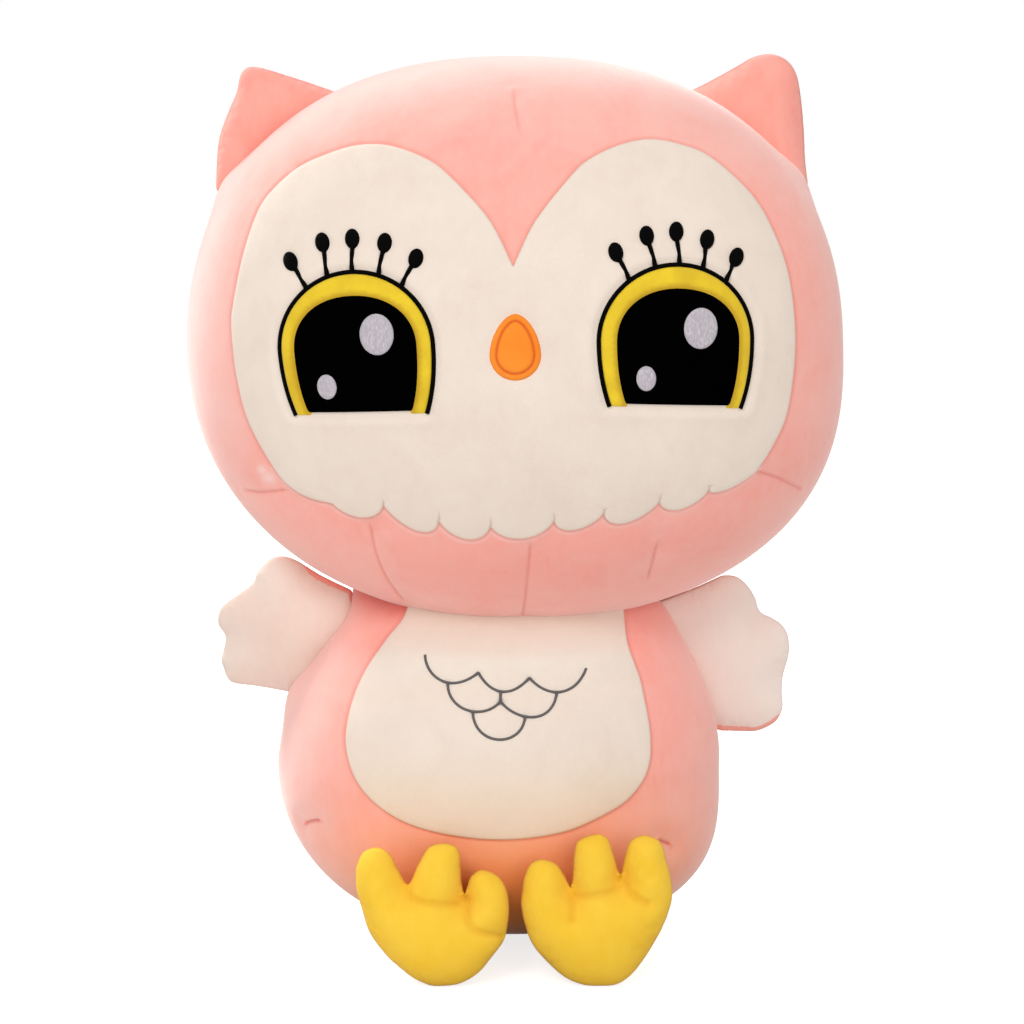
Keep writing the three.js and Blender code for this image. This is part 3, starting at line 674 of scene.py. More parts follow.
def ball(form, spacing):
    """A form as an even quad mesh, from the six sides of a cube."""
    size = 0.25 * math.pi * (form.half_width + (form.rise + form.drop) / 2)
    count = int(round(size / spacing))
    ticks = np.tan(np.linspace(-math.pi / 4, math.pi / 4, count + 1))
    u, v = np.meshgrid(ticks, ticks, indexing="ij")
    one = np.ones_like(u)
    sides = [(one, u, v), (-one, v, u), (v, one, u), (u, -one, v), (u, v, one), (v, u, -one)]
    points = np.vstack([np.stack(side, 2).reshape(-1, 3) for side in sides])
    corner = np.arange(count * (count + 1)).reshape(count, count + 1)[:, :-1].ravel()
    quads = np.stack([corner, corner + count + 1, corner + count + 2, corner + 1], 1)
    faces = np.vstack([quads + side * (count + 1) ** 2 for side in range(6)])
    keys = np.round(points * 1e6).astype(np.int64)
    first, same = np.unique(keys, axis=0, return_index=True, return_inverse=True)[1:]
    points = points[first]
    faces = same.ravel()[faces]
    points = unit(points) * (form.half_width, form.half_depth, (form.rise + form.drop) / 2)
    return form.onto(points + form.centre), faces


def refined(points, faces, near, rounds):
    """The mesh with its faces split where a rule says that a point lies near something."""
    mesh = bmesh.new()
    verts = [mesh.verts.new(p) for p in points]
    for face in faces:
        mesh.faces.new([verts[v] for v in face])
    for step in range(rounds):
        mesh.verts.ensure_lookup_table()
        co = np.array([v.co for v in mesh.verts])
        chosen = near(co, step)
        edges = [e for e in mesh.edges if chosen[e.verts[0].index] or chosen[e.verts[1].index]]
        bmesh.ops.subdivide_edges(mesh, edges=edges, cuts=1, use_grid_fill=True)
        mesh.verts.index_update()
    points = np.array([v.co for v in mesh.verts])
    faces = [tuple(v.index for v in face.verts) for face in mesh.faces]
    mesh.free()
    return points, faces


def near_lines(lines, room):
    """A rule for refined: points within some distance of any line, less at each round."""
    def rule(points, step):
        reach = room / (step + 1)
        found = np.zeros(len(points), bool)
        for line in lines:
            low, high = line.min(0) - reach, line.max(0) + reach
            some = np.where(((points > low) & (points < high)).all(1))[0]
            if len(some):
                found[some] |= line_distance(points[some], line) < reach
        return found
    return rule


# Materials
def colour(red, green, blue):
    """A shade as it is seen on a screen, from 0 to 255, turned to light."""
    def light(value):
        value /= 255
        return value / 12.92 if value <= 0.04045 else ((value + 0.055) / 1.055) ** 2.4
    return (light(red), light(green), light(blue), 1)


class Nodes:
    """A node tree, with short ways to add and join its nodes."""

    def __init__(self, tree):
        self.tree = tree

    def add(self, kind, inputs=None, **settings):
        node = self.tree.nodes.new(kind)
        for name, value in settings.items():
            setattr(node, name, value)
        for name, value in (inputs or {}).items():
            self.put(node.inputs[name], value)
        return node

    def put(self, socket, value):
        if isinstance(value, bpy.types.NodeSocket):
            self.tree.links.new(value, socket)
        else:
            socket.default_value = value

    def sum(self, operation, first, second):
        return self.add("ShaderNodeMath", {0: first, 1: second}, operation=operation).outputs[0]

    def shade(self, kind, inputs):
        return self.add(f"ShaderNode{kind}", inputs).outputs[0]

    def shown(self, output, *choice):
        """Shows one shader or the other by a share."""
        mixed = self.shade("MixShader", dict(enumerate(choice)))
        self.put(self.tree.nodes[output].inputs["Surface"], mixed)


class Paint(Nodes):
    """A material's nodes."""

    def __init__(self, name):
        self.material = bpy.data.materials.new(name)
        self.material.use_nodes = True
        super().__init__(self.material.node_tree)
        self.shader = self.tree.nodes["Principled BSDF"]
        self.place = self.add("ShaderNodeTexCoord").outputs["Object"]

    def noise(self, size, detail=2.0, roughness=0.5, place=None, distortion=0.0):
        """Noise whose lumps are about a size in millimetres."""
        return self.add("ShaderNodeTexNoise", {
            "Vector": place or self.place, "Scale": 1 / (size * MM), "Detail": detail,
            "Roughness": roughness, "Distortion": distortion,
        }).outputs["Fac"]

    def stretched(self, sizes, turn):
        return self.add("ShaderNodeMapping", {
            "Vector": self.place, "Scale": sizes, "Rotation": turn,
        }).outputs["Vector"]

    def spread(self, value, low, high):
        return self.add("ShaderNodeMapRange", {
            "Value": value, "From Min": low, "From Max": high,
        }).outputs["Result"]

    def mix(self, share, first, second):
        """Two colours mixed, each another node's or a shade as seen on a screen."""
        first, second = (colour(*shade) if isinstance(shade, tuple) else shade for shade in (first, second))
        inputs = {"Factor": share, 6: first, 7: second}
        return self.add("ShaderNodeMix", inputs, data_type="RGBA").outputs[2]

    def mark(self, name):
        return self.add("ShaderNodeAttribute", attribute_name=name).outputs["Fac"]

    def bump(self, height, distance, strength=1.0, normal=None):
        inputs = {"Height": height, "Distance": distance * MM, "Strength": strength}
        if normal:
            inputs["Normal"] = normal
        return self.add("ShaderNodeBump", inputs).outputs["Normal"]

    def set(self, **inputs):
        for name, value in inputs.items():
            self.put(self.shader.inputs[name.replace("_", " ")], value)
        return self.material


WHITE = (1, 1, 1, 1)
# The white that painted highlights are mixed toward, also the tint of the real sheen
SHEEN_WHITE = (255, 234, 229)
THREAD_PITCH = 0.55


def plush(name, main, pale, deep, sheen, streaks=0.35, glow=None, back=None, white=SHEEN_WHITE):
    """Short brushed pile: paler patches where it lies differently, a fine grain, and painted shade,
    highlights and warm light from marks.
    """
    paint = Paint(name)
    lay = paint.noise(26, 3, 0.55, distortion=0.6)
    nap = paint.noise(4.5, 2, 0.6, paint.stretched((1, 1, 0.35), (0.2, 0.1, 0)))
    tone = paint.mix(paint.spread(lay, 0.25, 0.8), main, pale)
    tone = paint.mix(paint.sum("MULTIPLY", paint.spread(nap, 0.35, 0.75), streaks), tone, pale)
    # Painted highlight where the mark named pale is
    tone = paint.mix(paint.mark("pale"), tone, white)
    if back:
        tone = paint.mix(paint.spread(paint.mark("panel"), -0.15, 0.15), tone, back)
    # Painted warm light, thrown up from the yellow feet, where the mark named glow is
    if glow:
        tone = paint.mix(paint.mark("glow"), tone, glow)
    # Painted shade where the mark named crease is: darker in seams, creases, grooves and under the chin
    tone = paint.mix(paint.sum("MULTIPLY", paint.mark("crease"), 0.75), tone, deep)
    grain = paint.noise(0.7, 2, 0.7)
    normal = paint.bump(grain, 0.35, 0.5)
    normal = paint.bump(nap, 0.5, 0.35, normal)
    return paint.set(Base_Color=tone, Roughness=0.92, Normal=normal, Specular_IOR_Level=0.12,
                     Sheen_Weight=sheen, Sheen_Roughness=0.5, Sheen_Tint=colour(*SHEEN_WHITE))


def satin_thread(name, main, light, gloss=0.35):
    """Rows of thread laid side by side across a line."""
    paint = Paint(name)
    along = paint.mark("along")
    wobble = paint.sum("MULTIPLY", paint.noise(1.5), 0.5)
    turns = paint.sum("MULTIPLY", paint.sum("ADD", along, wobble), 2 * math.pi / THREAD_PITCH)
    ridge = paint.spread(paint.sum("SINE", turns, 0.0), -1, 1)
    tone = paint.mix(paint.sum("MULTIPLY", ridge, 0.5), main, light)
    return paint.set(Base_Color=tone, Roughness=0.5, Normal=paint.bump(ridge, 0.12, 0.8),
                     Specular_IOR_Level=gloss)


def filled_stitch(name, main, light, shade):
    """A field of short stitches that lean one way and the other."""
    paint = Paint(name)
    rows = [paint.noise(0.55, 1, 0.5, paint.stretched((1, 1, 0.25), (0, lean, 0))) for lean in (0.5, -0.5)]
    both = paint.sum("MAXIMUM", *rows)
    tone = paint.mix(paint.spread(both, 0.45, 0.7), shade, main)
    tone = paint.mix(paint.spread(both, 0.65, 0.8), tone, light)
    return paint.set(Base_Color=tone, Roughness=0.6, Normal=paint.bump(both, 0.25, 0.8),
                     Specular_IOR_Level=0.3, Sheen_Weight=0.2)


def velvet(name, main, deep, gloss, sheen):
    """Smooth, dense cloth with deeper patches, and painted shade toward its inner edge."""
    paint = Paint(name)
    fleck = paint.noise(1.1, 3, 0.7)
    lay = paint.noise(14, 2, 0.5)
    share = paint.sum("MULTIPLY", paint.spread(lay, 0.35, 0.7), 0.3)
    tone = paint.mix(share, main, deep)
    # Painted shade along the inner edge, where the mark named edge is
    tone = paint.mix(paint.mark("edge"), tone, deep)
    return paint.set(Base_Color=tone, Roughness=0.75, Normal=paint.bump(fleck, 0.15, 0.5),
                     Specular_IOR_Level=gloss, Sheen_Weight=sheen, Sheen_Roughness=0.4)


# The third colour of each plush is painted shade, mixed in by the crease mark; a glow colour is painted
# warm light from the feet, and the cream's white its painted highlight
PINK = (253, 162, 147)
PALE_PINK = (254, 184, 171)
SHADED_PINK = (216, 86, 74)
pink = plush("pink_plush", PINK, PALE_PINK, SHADED_PINK, 1.0, 0.5, glow=(255, 164, 78))
coral = plush("coral_plush", (251, 157, 142), (254, 177, 163), SHADED_PINK, 0.3, 0.5)
cream = plush("cream_plush", (232, 215, 200), (240, 226, 212), (176, 140, 120), 0.15,
              glow=(238, 200, 156), white=(238, 246, 232))
wing_cream = plush("wing_plush", (236, 217, 203), (243, 228, 216), (190, 140, 120), 0.15,
                   back=(251, 176, 160))
yellow = plush("yellow_plush", (245, 196, 48), (251, 208, 72), (204, 136, 20), 0.12)
orange = plush("orange_cloth", (250, 136, 36), (254, 150, 54), (206, 78, 20), 0.08, 0.3)
satin_yellow = velvet("yellow_satin", (238, 204, 38), (170, 122, 12), gloss=0.3, sheen=0.3)
black_cloth = velvet("black_cloth", (2, 2, 2), (0, 0, 0), gloss=0, sheen=0)
black_thread = satin_thread("black_thread", (1, 1, 1), (6, 6, 6), gloss=0.03)
grey_thread = satin_thread("grey_thread", (84, 80, 80), (130, 126, 124))
orange_thread = satin_thread("orange_thread", (222, 96, 28), (240, 122, 46))
pale_thread = filled_stitch("pale_thread", (198, 191, 196), (216, 210, 216), (176, 168, 175))


# Head cover
def head_place(shares):
    aside, up = shares
    return aside * head_form.half_width, up * (head_form.rise if up > 0 else FACE_DROP)


def face_outline():
    right = spline([head_place(p) for p in FACE_RIGHT_EDGE_SHARES], 12)
    left = spline([head_place(p) for p in FACE_LEFT_EDGE_SHARES], 12)
    cusps = [np.array(head_place(p)) for p in FACE_CUSP_SHARES]
    lower = []
    for start, end, low in zip(cusps, cusps[1:], FACE_LOW_SHARES):
        down = (np.array(head_place(low)) - (start + end) / 2) * 4 / 3
        along = (end - start) * SCALLOP_TUCK
        lower.append(cubic(start, start + along + down, end - along + down, end, 16)[1:])
    return np.vstack([right] + lower + [left[1:-1]])


def on_head(places):
    """A line on the front of the head through places across and up from its centre."""
    return head_form.front(spline(places, 8))


FACE = even(face_outline(), 1.0, True)
CHEEK_DARTS = {
    "left": [(116, -51.5), (129, -56.5), (144, -65)],
    "right": [(-110, -61.2), (-118, -63.2), (-127, -64.9), (-136, -65.2)],
}
CHIN_DARTS = [
    [(-70.5, -76), (-68.5, -91.7), (-64.1, -105.8), (-56, -121)],
    [(7.5, -84), (5.9, -105.2), (3.6, -127)],
    [(69.5, -85.2), (67.5, -96.7), (65.3, -108.4)],
]
CROWN_DART = [(-0.5, 132.8), (0, 124.4), (2.4, 110.8)]
BROW_PUCKER = [(-108.7, 90.7), (-104.8, 94.5)]
HEAD_SWELLS = [((-145, 6, 384), 5, 17), ((143, 6, 388), 5, 16), ((-5, -35, 168), 3, 55)]
# Painted shade on the chin, through the crease mark
CHIN_SHADE = 0.15
CHIN_SHADE_PLACE = (0, -98)
CHIN_SHADE_REACH = (78, 20)
# Painted highlights on the crown, on the owl's right side and in small dimples, mixed toward white by the
# pale mark
CROWN_PALE = 0.24
CROWN_PALE_FROM = 0.35
SIDE_PALE = 0.32
SIDE_PALE_FROM = 0.45
SIDE_PALE_LOW_RAMP = (-0.5, 0.4)
PALE_DIMPLES = [((-121, -56), 3.5), ((-124, -52), 2.5), ((-107, 92.5), 2.5)]
DIMPLE_PALE = 0.5
FRONT_ENDS_Y = -20
# A painted highlight in a band on the pink just below the face's scallops
FACE_HALO = (0.3, 0.8)
FACE_HALO_PLACE = 0.8
FACE_HALO_SPAN = (-95, -50)
COVER_SPACING = 2.6
NEAR_CREASES = 5.0
SEAM_GROOVE = (1.3, 0.9)
SEAM_DENT = (0.9, 7)
SEAM_SHADE = (0.8, 1.0)
# Along an appliqué's edge the cloth dips, and the mark paints shade there
EDGE_CREASE = dict(depth=0.35, width=1.0, dent=0.0, reach=4, fade=0, mark=0.3)


def side_highlight(normals):
    """A painted highlight on the owl's right side, fading out where the cloth faces down."""
    aside = ramp(-normals[:, 0], SIDE_PALE_FROM, 1 - SIDE_PALE_FROM)
    return SIDE_PALE * aside * ramp(normals[:, 2], *SIDE_PALE_LOW_RAMP)


def cover(form, seam_y, creases, swells, dart_room, near_neck=lambda points, step: False):
    """A form as sewn cloth, with creases and bulges and a seam all round its sides."""
    darts = [crease.line for crease in creases if crease.fade]

    def near(points, step):
        found = near_lines([crease.line for crease in creases], NEAR_CREASES)(points, step)
        return found | near_neck(points, step) | (np.abs(points[:, 1] - seam_y) < NEAR_CREASES / (step + 1))

    points, faces = refined(*ball(form, COVER_SPACING), near, 2)
    points, faces = refined(points, faces, near_lines(darts, dart_room), 1)
    points = form.onto(points)
    normals = form.normals(points)
    moved, mark = creased(points, normals, creases)
    moved += swollen(points, normals, swells)
    away = np.abs(points[:, 1] - seam_y)
    moved -= normals * (hump(away, SEAM_GROOVE) + hump(away, SEAM_DENT))[:, None]
    mark = np.maximum(mark, hump(away, SEAM_SHADE))
    return Shape(moved, faces, crease=mark), points, normals


def head_cover():
    darts = [on_head(d) for d in [*CHEEK_DARTS.values(), *CHIN_DARTS, CROWN_DART, BROW_PUCKER]]
    back_darts = [line * (1, -1, 1) for line in darts[2:6]]
    face_edge = head_form.front(np.vstack([FACE, FACE[:1]]))
    # The darts' marks paint shade in their grooves
    creases = [Crease(line, 0.7, 0.85, 1.0, 7, mark=0.5) for line in darts[:5] + back_darts]
    creases.append(Crease(darts[5], 0.4, 0.9, 0.7, 8, mark=0.3))
    creases.append(Crease(darts[6], 0.8, 1.0, 0.8, 4, mark=0.5))
    creases.append(Crease(face_edge, **EDGE_CREASE))
    shape, points, normals = cover(head_form, HEAD_SEAM_SETBACK, creases, HEAD_SWELLS, dart_room=2.2)
    flat = points[:, (0, 2)] - head_form.centre[[0, 2]]
    ahead = points[:, 1] < FRONT_ENDS_Y
    # Painted shade on the front of the chin
    shade_away = length((flat - CHIN_SHADE_PLACE) / CHIN_SHADE_REACH)
    shape.marks["crease"] = np.maximum(shape.marks["crease"], ahead * CHIN_SHADE * bell(shade_away, 1))
    # The pale mark is painted highlight: below the scallops, on the crown, on the right side and in dimples
    pale = np.zeros(len(points))
    low = ahead & (flat[:, 1] > FACE_HALO_SPAN[0]) & (flat[:, 1] < FACE_HALO_SPAN[1])
    pale[low] = hump(line_distance(flat[low], FACE, True) - FACE_HALO_PLACE, FACE_HALO)
    crown = CROWN_PALE * ramp(normals[:, 2], CROWN_PALE_FROM, 1 - CROWN_PALE_FROM)
    pale = np.maximum(np.maximum(pale, crown), side_highlight(normals))
    for place, reach in PALE_DIMPLES:
        pale = np.maximum(pale, ahead * DIMPLE_PALE * bell(length(flat - place), reach))
    shape.marks["pale"] = pale
    return shape


# Layers on the face
FACE_HEIGHT = 1.3
FACE_PUFF = 0.9


def eye_place(name, points):
    """Points of an eye, its lower part leaning toward the left side, set on the head's front."""
    across, up = np.array(points, float).T
    leaning = np.stack([across + EYE_LEAN * np.maximum(-up, 0), up], 1)
    return turned(leaning, math.radians(-SIDES[name] * EYE_TILT)) + EYE_PLACES[name]


def shrunk(sizes, inset):
    """The sizes of an arch some way in from another, with its lower edge kept."""
    less = {key: sizes[key] - inset for key in ("half_width", "rise", "drop")}
    return {**sizes, **less}


def fan_place(angle, reach):
    """A place in the lashes' fan, from an angle clockwise from upright."""
    angle = math.radians(angle)
    return np.array([math.sin(angle) * reach, math.cos(angle) * reach - LASH_CENTRE_DROP])


def lash_foot(angle):
    """The place just inside the eye's edge in some direction from the middle of the fan."""
    for reach in np.arange(30, 60, 0.25):
        across, up = fan_place(angle, reach)
        if (across / EYE["half_width"]) ** 2 + (up / EYE["rise"]) ** 2 > 1:
            break
    return fan_place(angle, reach - 1)


def lashes(name):
    """For each lash, its stem's line, its tip and its turn, in the eye's own place."""
    made = []
    for foot_angle, tip_angle, reach in LASHES[name]:
        foot, tip = lash_foot(foot_angle), fan_place(tip_angle, reach)
        bow = LASH_BOW * math.sin(math.radians(tip_angle))
        middle = (foot + tip) / 2 + (-bow * 0.8, -abs(bow) * 0.6)
        made.append((bezier(foot, middle, tip, 12), tip, math.radians(-tip_angle / 2)))
    return made


def pupil_line(name, inset=0.0):
    return arch(**shrunk(PUPIL, inset)) + (PUPIL_ASIDE[name], 0)


EYE_EDGES = {name: eye_place(name, arch(**EYE)) for name in SIDES}
STEMS = [eye_place(name, stem) for name in SIDES for stem, tip, turn in lashes(name)]
TIPS = np.vstack([eye_place(name, [tip]) for name in SIDES for stem, tip, turn in lashes(name)])


def beak_line(inset=0.0):
    """An egg whose narrow end points up."""
    line = egg(BEAK["half_width"] - inset, BEAK["rise"] - inset, BEAK["drop"] - inset, BEAK_POINT)
    return line + (0, BEAK["centre_rise"])


def cusp_ticks():
    """The short stitched lines that run up from between the scallops."""
    cusps = [np.array(head_place(p)) for p in FACE_CUSP_SHARES[1:-1]]
    return [np.stack([cusp, cusp + (0.3, CUSP_TICK)]) for cusp in cusps]


EDGE_ROLL = 1.5
PUFF_REACH = 7


def cloth_height(away, height, puff):
    """Height of a layer of cloth over what it is sewn on: a rolled edge and a soft middle."""
    return height * rounded(away / EDGE_ROLL) + puff * (1 - np.exp(-away / PUFF_REACH))


# How deep each kind of sewing pulls the face in, and how far round it
EYE_PULL = (0.9, 1.8)
STEM_PULL = (0.7, 1.6)
BEAK_PULL = (0.7, 1.6)
TICK_PULL = (0.6, 0.7)
TIP_PULL = (0.8, 5.0)
EYE_RIM = (0.6, 2.2)
EYE_RIM_PLACE = 4.0
EDGE_SHADE = (0.3, 0.45)
TICK_SHADE = (0.55, 0.5)
LEAST_FACE_HEIGHT = 0.25
LEAST_FACE_ROLL = 0.6


def pulled(flat, outline, pull):
    """How far the sewing round an outline pulls the cloth in, all over what it encloses too."""
    within = inside(flat, outline)
    return np.where(within, pull[0], hump(line_distance(flat, outline, True), pull)), within


def face_height(flat, away):
    """Height of the cream face over the pink cloth, pulled in by all that is sewn on it."""
    height = cloth_height(away, FACE_HEIGHT, FACE_PUFF)
    for edge in EYE_EDGES.values():
        depth, within = pulled(flat, edge, EYE_PULL)
        height -= depth
        height += hump(line_distance(flat, edge, True) - EYE_RIM_PLACE, EYE_RIM) * ~within
    for stem in STEMS:
        height -= hump(line_distance(flat, stem), STEM_PULL)
    height -= TIP_PULL[0] * np.exp(-(point_distance(flat, TIPS) / TIP_PULL[1]) ** 4)
    height -= pulled(flat, beak_line(), BEAK_PULL)[0]
    for tick in cusp_ticks():
        height -= hump(line_distance(flat, tick), TICK_PULL)
    return np.maximum(height, LEAST_FACE_HEIGHT * rounded(away / LEAST_FACE_ROLL))


def face_crease(flat, away):
    mark = hump(away, EDGE_SHADE)
    for tick in cusp_ticks():
        mark = np.maximum(mark, hump(line_distance(flat, tick), TICK_SHADE))
    return mark


def sewn(line, kind, closed=False):
    """Points beside a line of sewing for tiled, and the room that they take."""
    spacing, amounts, room = SEWN_ROWS[kind]
    line = even(line, spacing, closed)
    left = sideways(line, closed)
    return np.vstack([line + left * amount for amount in amounts]), room


def tip_oval(grow=0.0, steps=24):
    half_width, half_height = (size + grow for size in LASH_OVAL)
    return egg(half_width, half_height, half_height, steps=steps)


def face_patch():
    extra = [sewn(edge, "eye", True) for edge in EYE_EDGES.values()]
    extra += [sewn(stem, "stem") for stem in STEMS]
    extra += [(np.vstack([tip + tip_oval(grow) for grow in TIP_ROWS]), TIP_ROOM) for tip in TIPS]
    extra.append(sewn(beak_line(), "beak", True))
    extra += [sewn(tick, "tick") for tick in cusp_ticks()]
    return patch(head_form, FACE, "face", face_height, extra=extra, marks={"crease": face_crease})


ON_FACE = FACE_HEIGHT + FACE_PUFF - EYE_PULL[0]


def plump(layer):
    """The height of a layer on the face, which rises roundly from its edge."""
    start, rise, reach = LAYER_PLUMPS[layer]
    return lambda flat, away: ON_FACE + start + rise * rounded(away / reach)


def eye_outline(name):
    line = eye_place(name, arch(**shrunk(EYE, EYE_THREAD / 2)))
    shape = face_band(line, ON_FACE, EYE_THREAD, EYE_THREAD_HEIGHT)
    for stem, tip, turn in lashes(name):
        stem = eye_place(name, stem)
        outline = eye_place(name, turned(tip_oval(steps=32), turn) + tip)
        shape.with_others(
            face_band(stem, ON_FACE + LASH_LIFT, LASH_THREAD, LASH_THREAD_HEIGHT),
            patch(head_form, outline, "tip", sink=0, marks={"along": lambda flat, away: flat[:, 1]}),
        )
    return shape


def iris(name):
    """A yellow band round the pupil, plump across, open at the bottom."""
    outer = arch(**shrunk(EYE, EYE_THREAD - IRIS_UNDER_THREAD))
    inner = pupil_line(name, IRIS_UNDER_PUPIL)
    low = -EYE["lower_edge"]
    ends = np.array([(inner[-1, 0], low), (inner[0, 0], low)])
    outline = even(np.vstack([outer, ends[:1], inner[::-1], ends[1:]]), 0.9, True)
    pupil_edge = eye_place(name, pupil_line(name))
    return patch(head_form, eye_place(name, outline), "iris",
                 marks={"edge": lambda flat, away: hump(line_distance(flat, pupil_edge), IRIS_SHADE)})


def pupil(name):
    line = eye_place(name, even(pupil_line(name), 1.0, True))
    return patch(head_form, line, "pupil")


def glint(name, size):
    aside, up, half_width, half_height = GLINTS[size]
    oval = egg(half_width, half_height, half_height, steps=48) + (aside, up)
    return patch(head_form, eye_place(name, oval), "glint", sink=0)


def beak():
    stitch = beak_line(BEAK_STITCH_INSET)

    def height(flat, away):
        return plump("beak")(flat, away) - hump(line_distance(flat, stitch, True), BEAK_GROOVE)

    def crease(flat, away):
        return np.maximum(hump(line_distance(flat, stitch, True), BEAK_SHADE), hump(away, BEAK_EDGE_SHADE))

    return patch(head_form, even(beak_line(), 0.8, True), "beak", height,
                 extra=[sewn(stitch, "stitch", True)], marks={"crease": crease})


def beak_stitching():
    return face_band(beak_line(BEAK_STITCH_INSET), ON_FACE + BEAK_STITCH_LIFT, BEAK_THREAD,
                     BEAK_THREAD_HEIGHT, closed=True)


# Body
def tucked(points, depth):
    """The points of a cover, with none deeper in the head than a depth."""
    moved = points.copy()
    for unused in range(4):
        on = head_form.onto(moved)
        normals = head_form.normals(on)
        deep = -np.einsum("ij,ij->i", moved - on, normals) - depth
        down = np.where(moved[:, 2] < head_form.centre[2], deep / np.maximum(-normals[:, 2], 0.35), 0)
        moved[:, 2] -= np.maximum(down, 0)
    return moved


def feather_line(shares):
    """A cubic curve, with its ends and its two controls in shares of a feather's width."""
    return cubic(*(np.array([x, z]) * FEATHER_WIDTH + (0, FEATHER_TOP_RISE) for x, z in shares), 24)


def anticlockwise(outline):
    """The outline in the turn that tiled takes."""
    x, z = outline.T
    turn = np.sum(x * np.roll(z, -1) - np.roll(x, -1) * z)
    return outline if turn > 0 else outline[::-1]


BELLY_EDGE = grown(anticlockwise(even(spline(BELLY_EDGE_PLACES, 8), 1.2, True)), BELLY_GROWTH)
FEATHERS = [feather_line(shares) for shares in FEATHER_SHARES]
BODY_DARTS = {
    "right": [(-99.5, -26), (-96, -23.2), (-90.1, -20.5)],
    "left": [(80.2, -27.8), (84, -30.2), (88, -32.7)],
}
BODY_SWELLS = [((-113, 0, 122), 5, 16), ((-75, 0, 177), 12, 12), ((83, 0, 172), 4, 16)]
BELLY_HEIGHT = 1.3
BELLY_PUFF = 0.6
FEATHER_PULL = (0.6, 1.5)
BELLY_EDGE_SHADE = (0.35, 0.45)
# Painted highlight at the top of the belly, against the pink cast under the chin, and painted warm light
# from the feet toward its bottom
BELLY_PALE = 0.35
BELLY_PALE_RAMP = (45, 30)
BELLY_GLOW = 0.4
BELLY_GLOW_RAMP = (30, -50)
# Painted warm light thrown up from the yellow feet onto the body's low front, where the mark named glow is
FEET_GLOW_PLACE = (0, 10)
FEET_GLOW_REACH = (88, 80, 56)
FEET_GLOW_MOST = 1.3
NEAR_NECK_SHARE = 0.09

# The shade under the chin, deeper and wider toward the right side
NECK_SHADE = 0.5
NECK_SHADE_DEEPER = 0.35
NECK_SHADE_REACH = 0.07
NECK_SHADE_WIDER = 0.08
NECK_SHADE_RAMP = (35, 30)


def near_neck(points, step):
    return np.abs(head_form.level(points)[0] - 1) < NEAR_NECK_SHARE / (step + 1)


def body_cover():
    darts = [body_form.front(spline(d, 8)) for d in BODY_DARTS.values()]
    edge = body_form.front(np.vstack([BELLY_EDGE, BELLY_EDGE[:1]]))
    # The darts' marks and the belly edge's mark paint shade in their grooves
    creases = [Crease(line, 1.1, 0.9, 1.8, 7, fade=2, mark=1) for line in darts]
    creases.append(Crease(edge, **EDGE_CREASE))
    shape, points, normals = cover(body_form, 0, creases, BODY_SWELLS, dart_room=2, near_neck=near_neck)
    moved = tucked(shape.points, NECK_TUCK)
    aside = ramp(-moved[:, 0], *NECK_SHADE_RAMP)
    reach = NECK_SHADE_REACH + NECK_SHADE_WIDER * aside
    shade = (NECK_SHADE + NECK_SHADE_DEEPER * aside) * bell(head_form.level(moved)[0] - 1, reach)
    shape.marks["crease"] = np.maximum(shape.marks["crease"], shade)
    moved[:, 2] = np.maximum(moved[:, 2], 0)
    # Painted warm light from the yellow feet, strongest at the body's low front
    flat = moved - (FEET_GLOW_PLACE[0], moved[:, 1].min(), FEET_GLOW_PLACE[1])
    shape.points = moved
    shape.marks["glow"] = np.minimum(FEET_GLOW_MOST * bell(length(flat / FEET_GLOW_REACH), 1), 1)
    # Painted highlight on the owl's right side
    shape.marks["pale"] = side_highlight(normals)
    return shape


def belly_height(flat, away):
    height = cloth_height(away, BELLY_HEIGHT, BELLY_PUFF)
    for line in FEATHERS:
        height -= hump(line_distance(flat, line), FEATHER_PULL)
    return height


def belly_patch():
    # The crease mark is painted shade along the edge, the pale mark a painted highlight at the top, the
    # glow mark painted warm light from the feet
    marks = {
        "crease": lambda flat, away: hump(away, BELLY_EDGE_SHADE),
        "pale": lambda flat, away: BELLY_PALE * ramp(flat[:, 1], *BELLY_PALE_RAMP),
        "glow": lambda flat, away: BELLY_GLOW * ramp(flat[:, 1], *BELLY_GLOW_RAMP),
    }
    extra = [sewn(line, "feather") for line in FEATHERS]
    shape = patch(body_form, BELLY_EDGE, "belly", belly_height, extra=extra, marks=marks)
    half = len(shape.points) // 2
    shape.points[:half] = tucked(shape.points[:half], NECK_TUCK - 2)
    shape.points[half:] = tucked(shape.points[half:], NECK_TUCK - 1)
    return shape


def chest_stitching():
    lift = BELLY_HEIGHT + BELLY_PUFF - FEATHER_PULL[0]
    first, *others = (face_band(line, lift, FEATHER_THREAD, FEATHER_THREAD_HEIGHT, form=body_form)
                      for line in FEATHERS)
    return first.with_others(*others)


# Stuffed limbs
PANEL_SPACING = 2.2
PANEL_RINGS = (1.1, 2.6)
PANEL_SLACK = 0.02
FRAMES = 20
LONGEST_MOVE = 6.0
CLOTH = dict(quality=6, mass=0.01, tension_stiffness=15, compression_stiffness=15, shear_stiffness=5,
             bending_stiffness=0.05, use_pressure=True, uniform_pressure_force=12,
             shrink_min=-PANEL_SLACK, vertex_group_mass="seam")


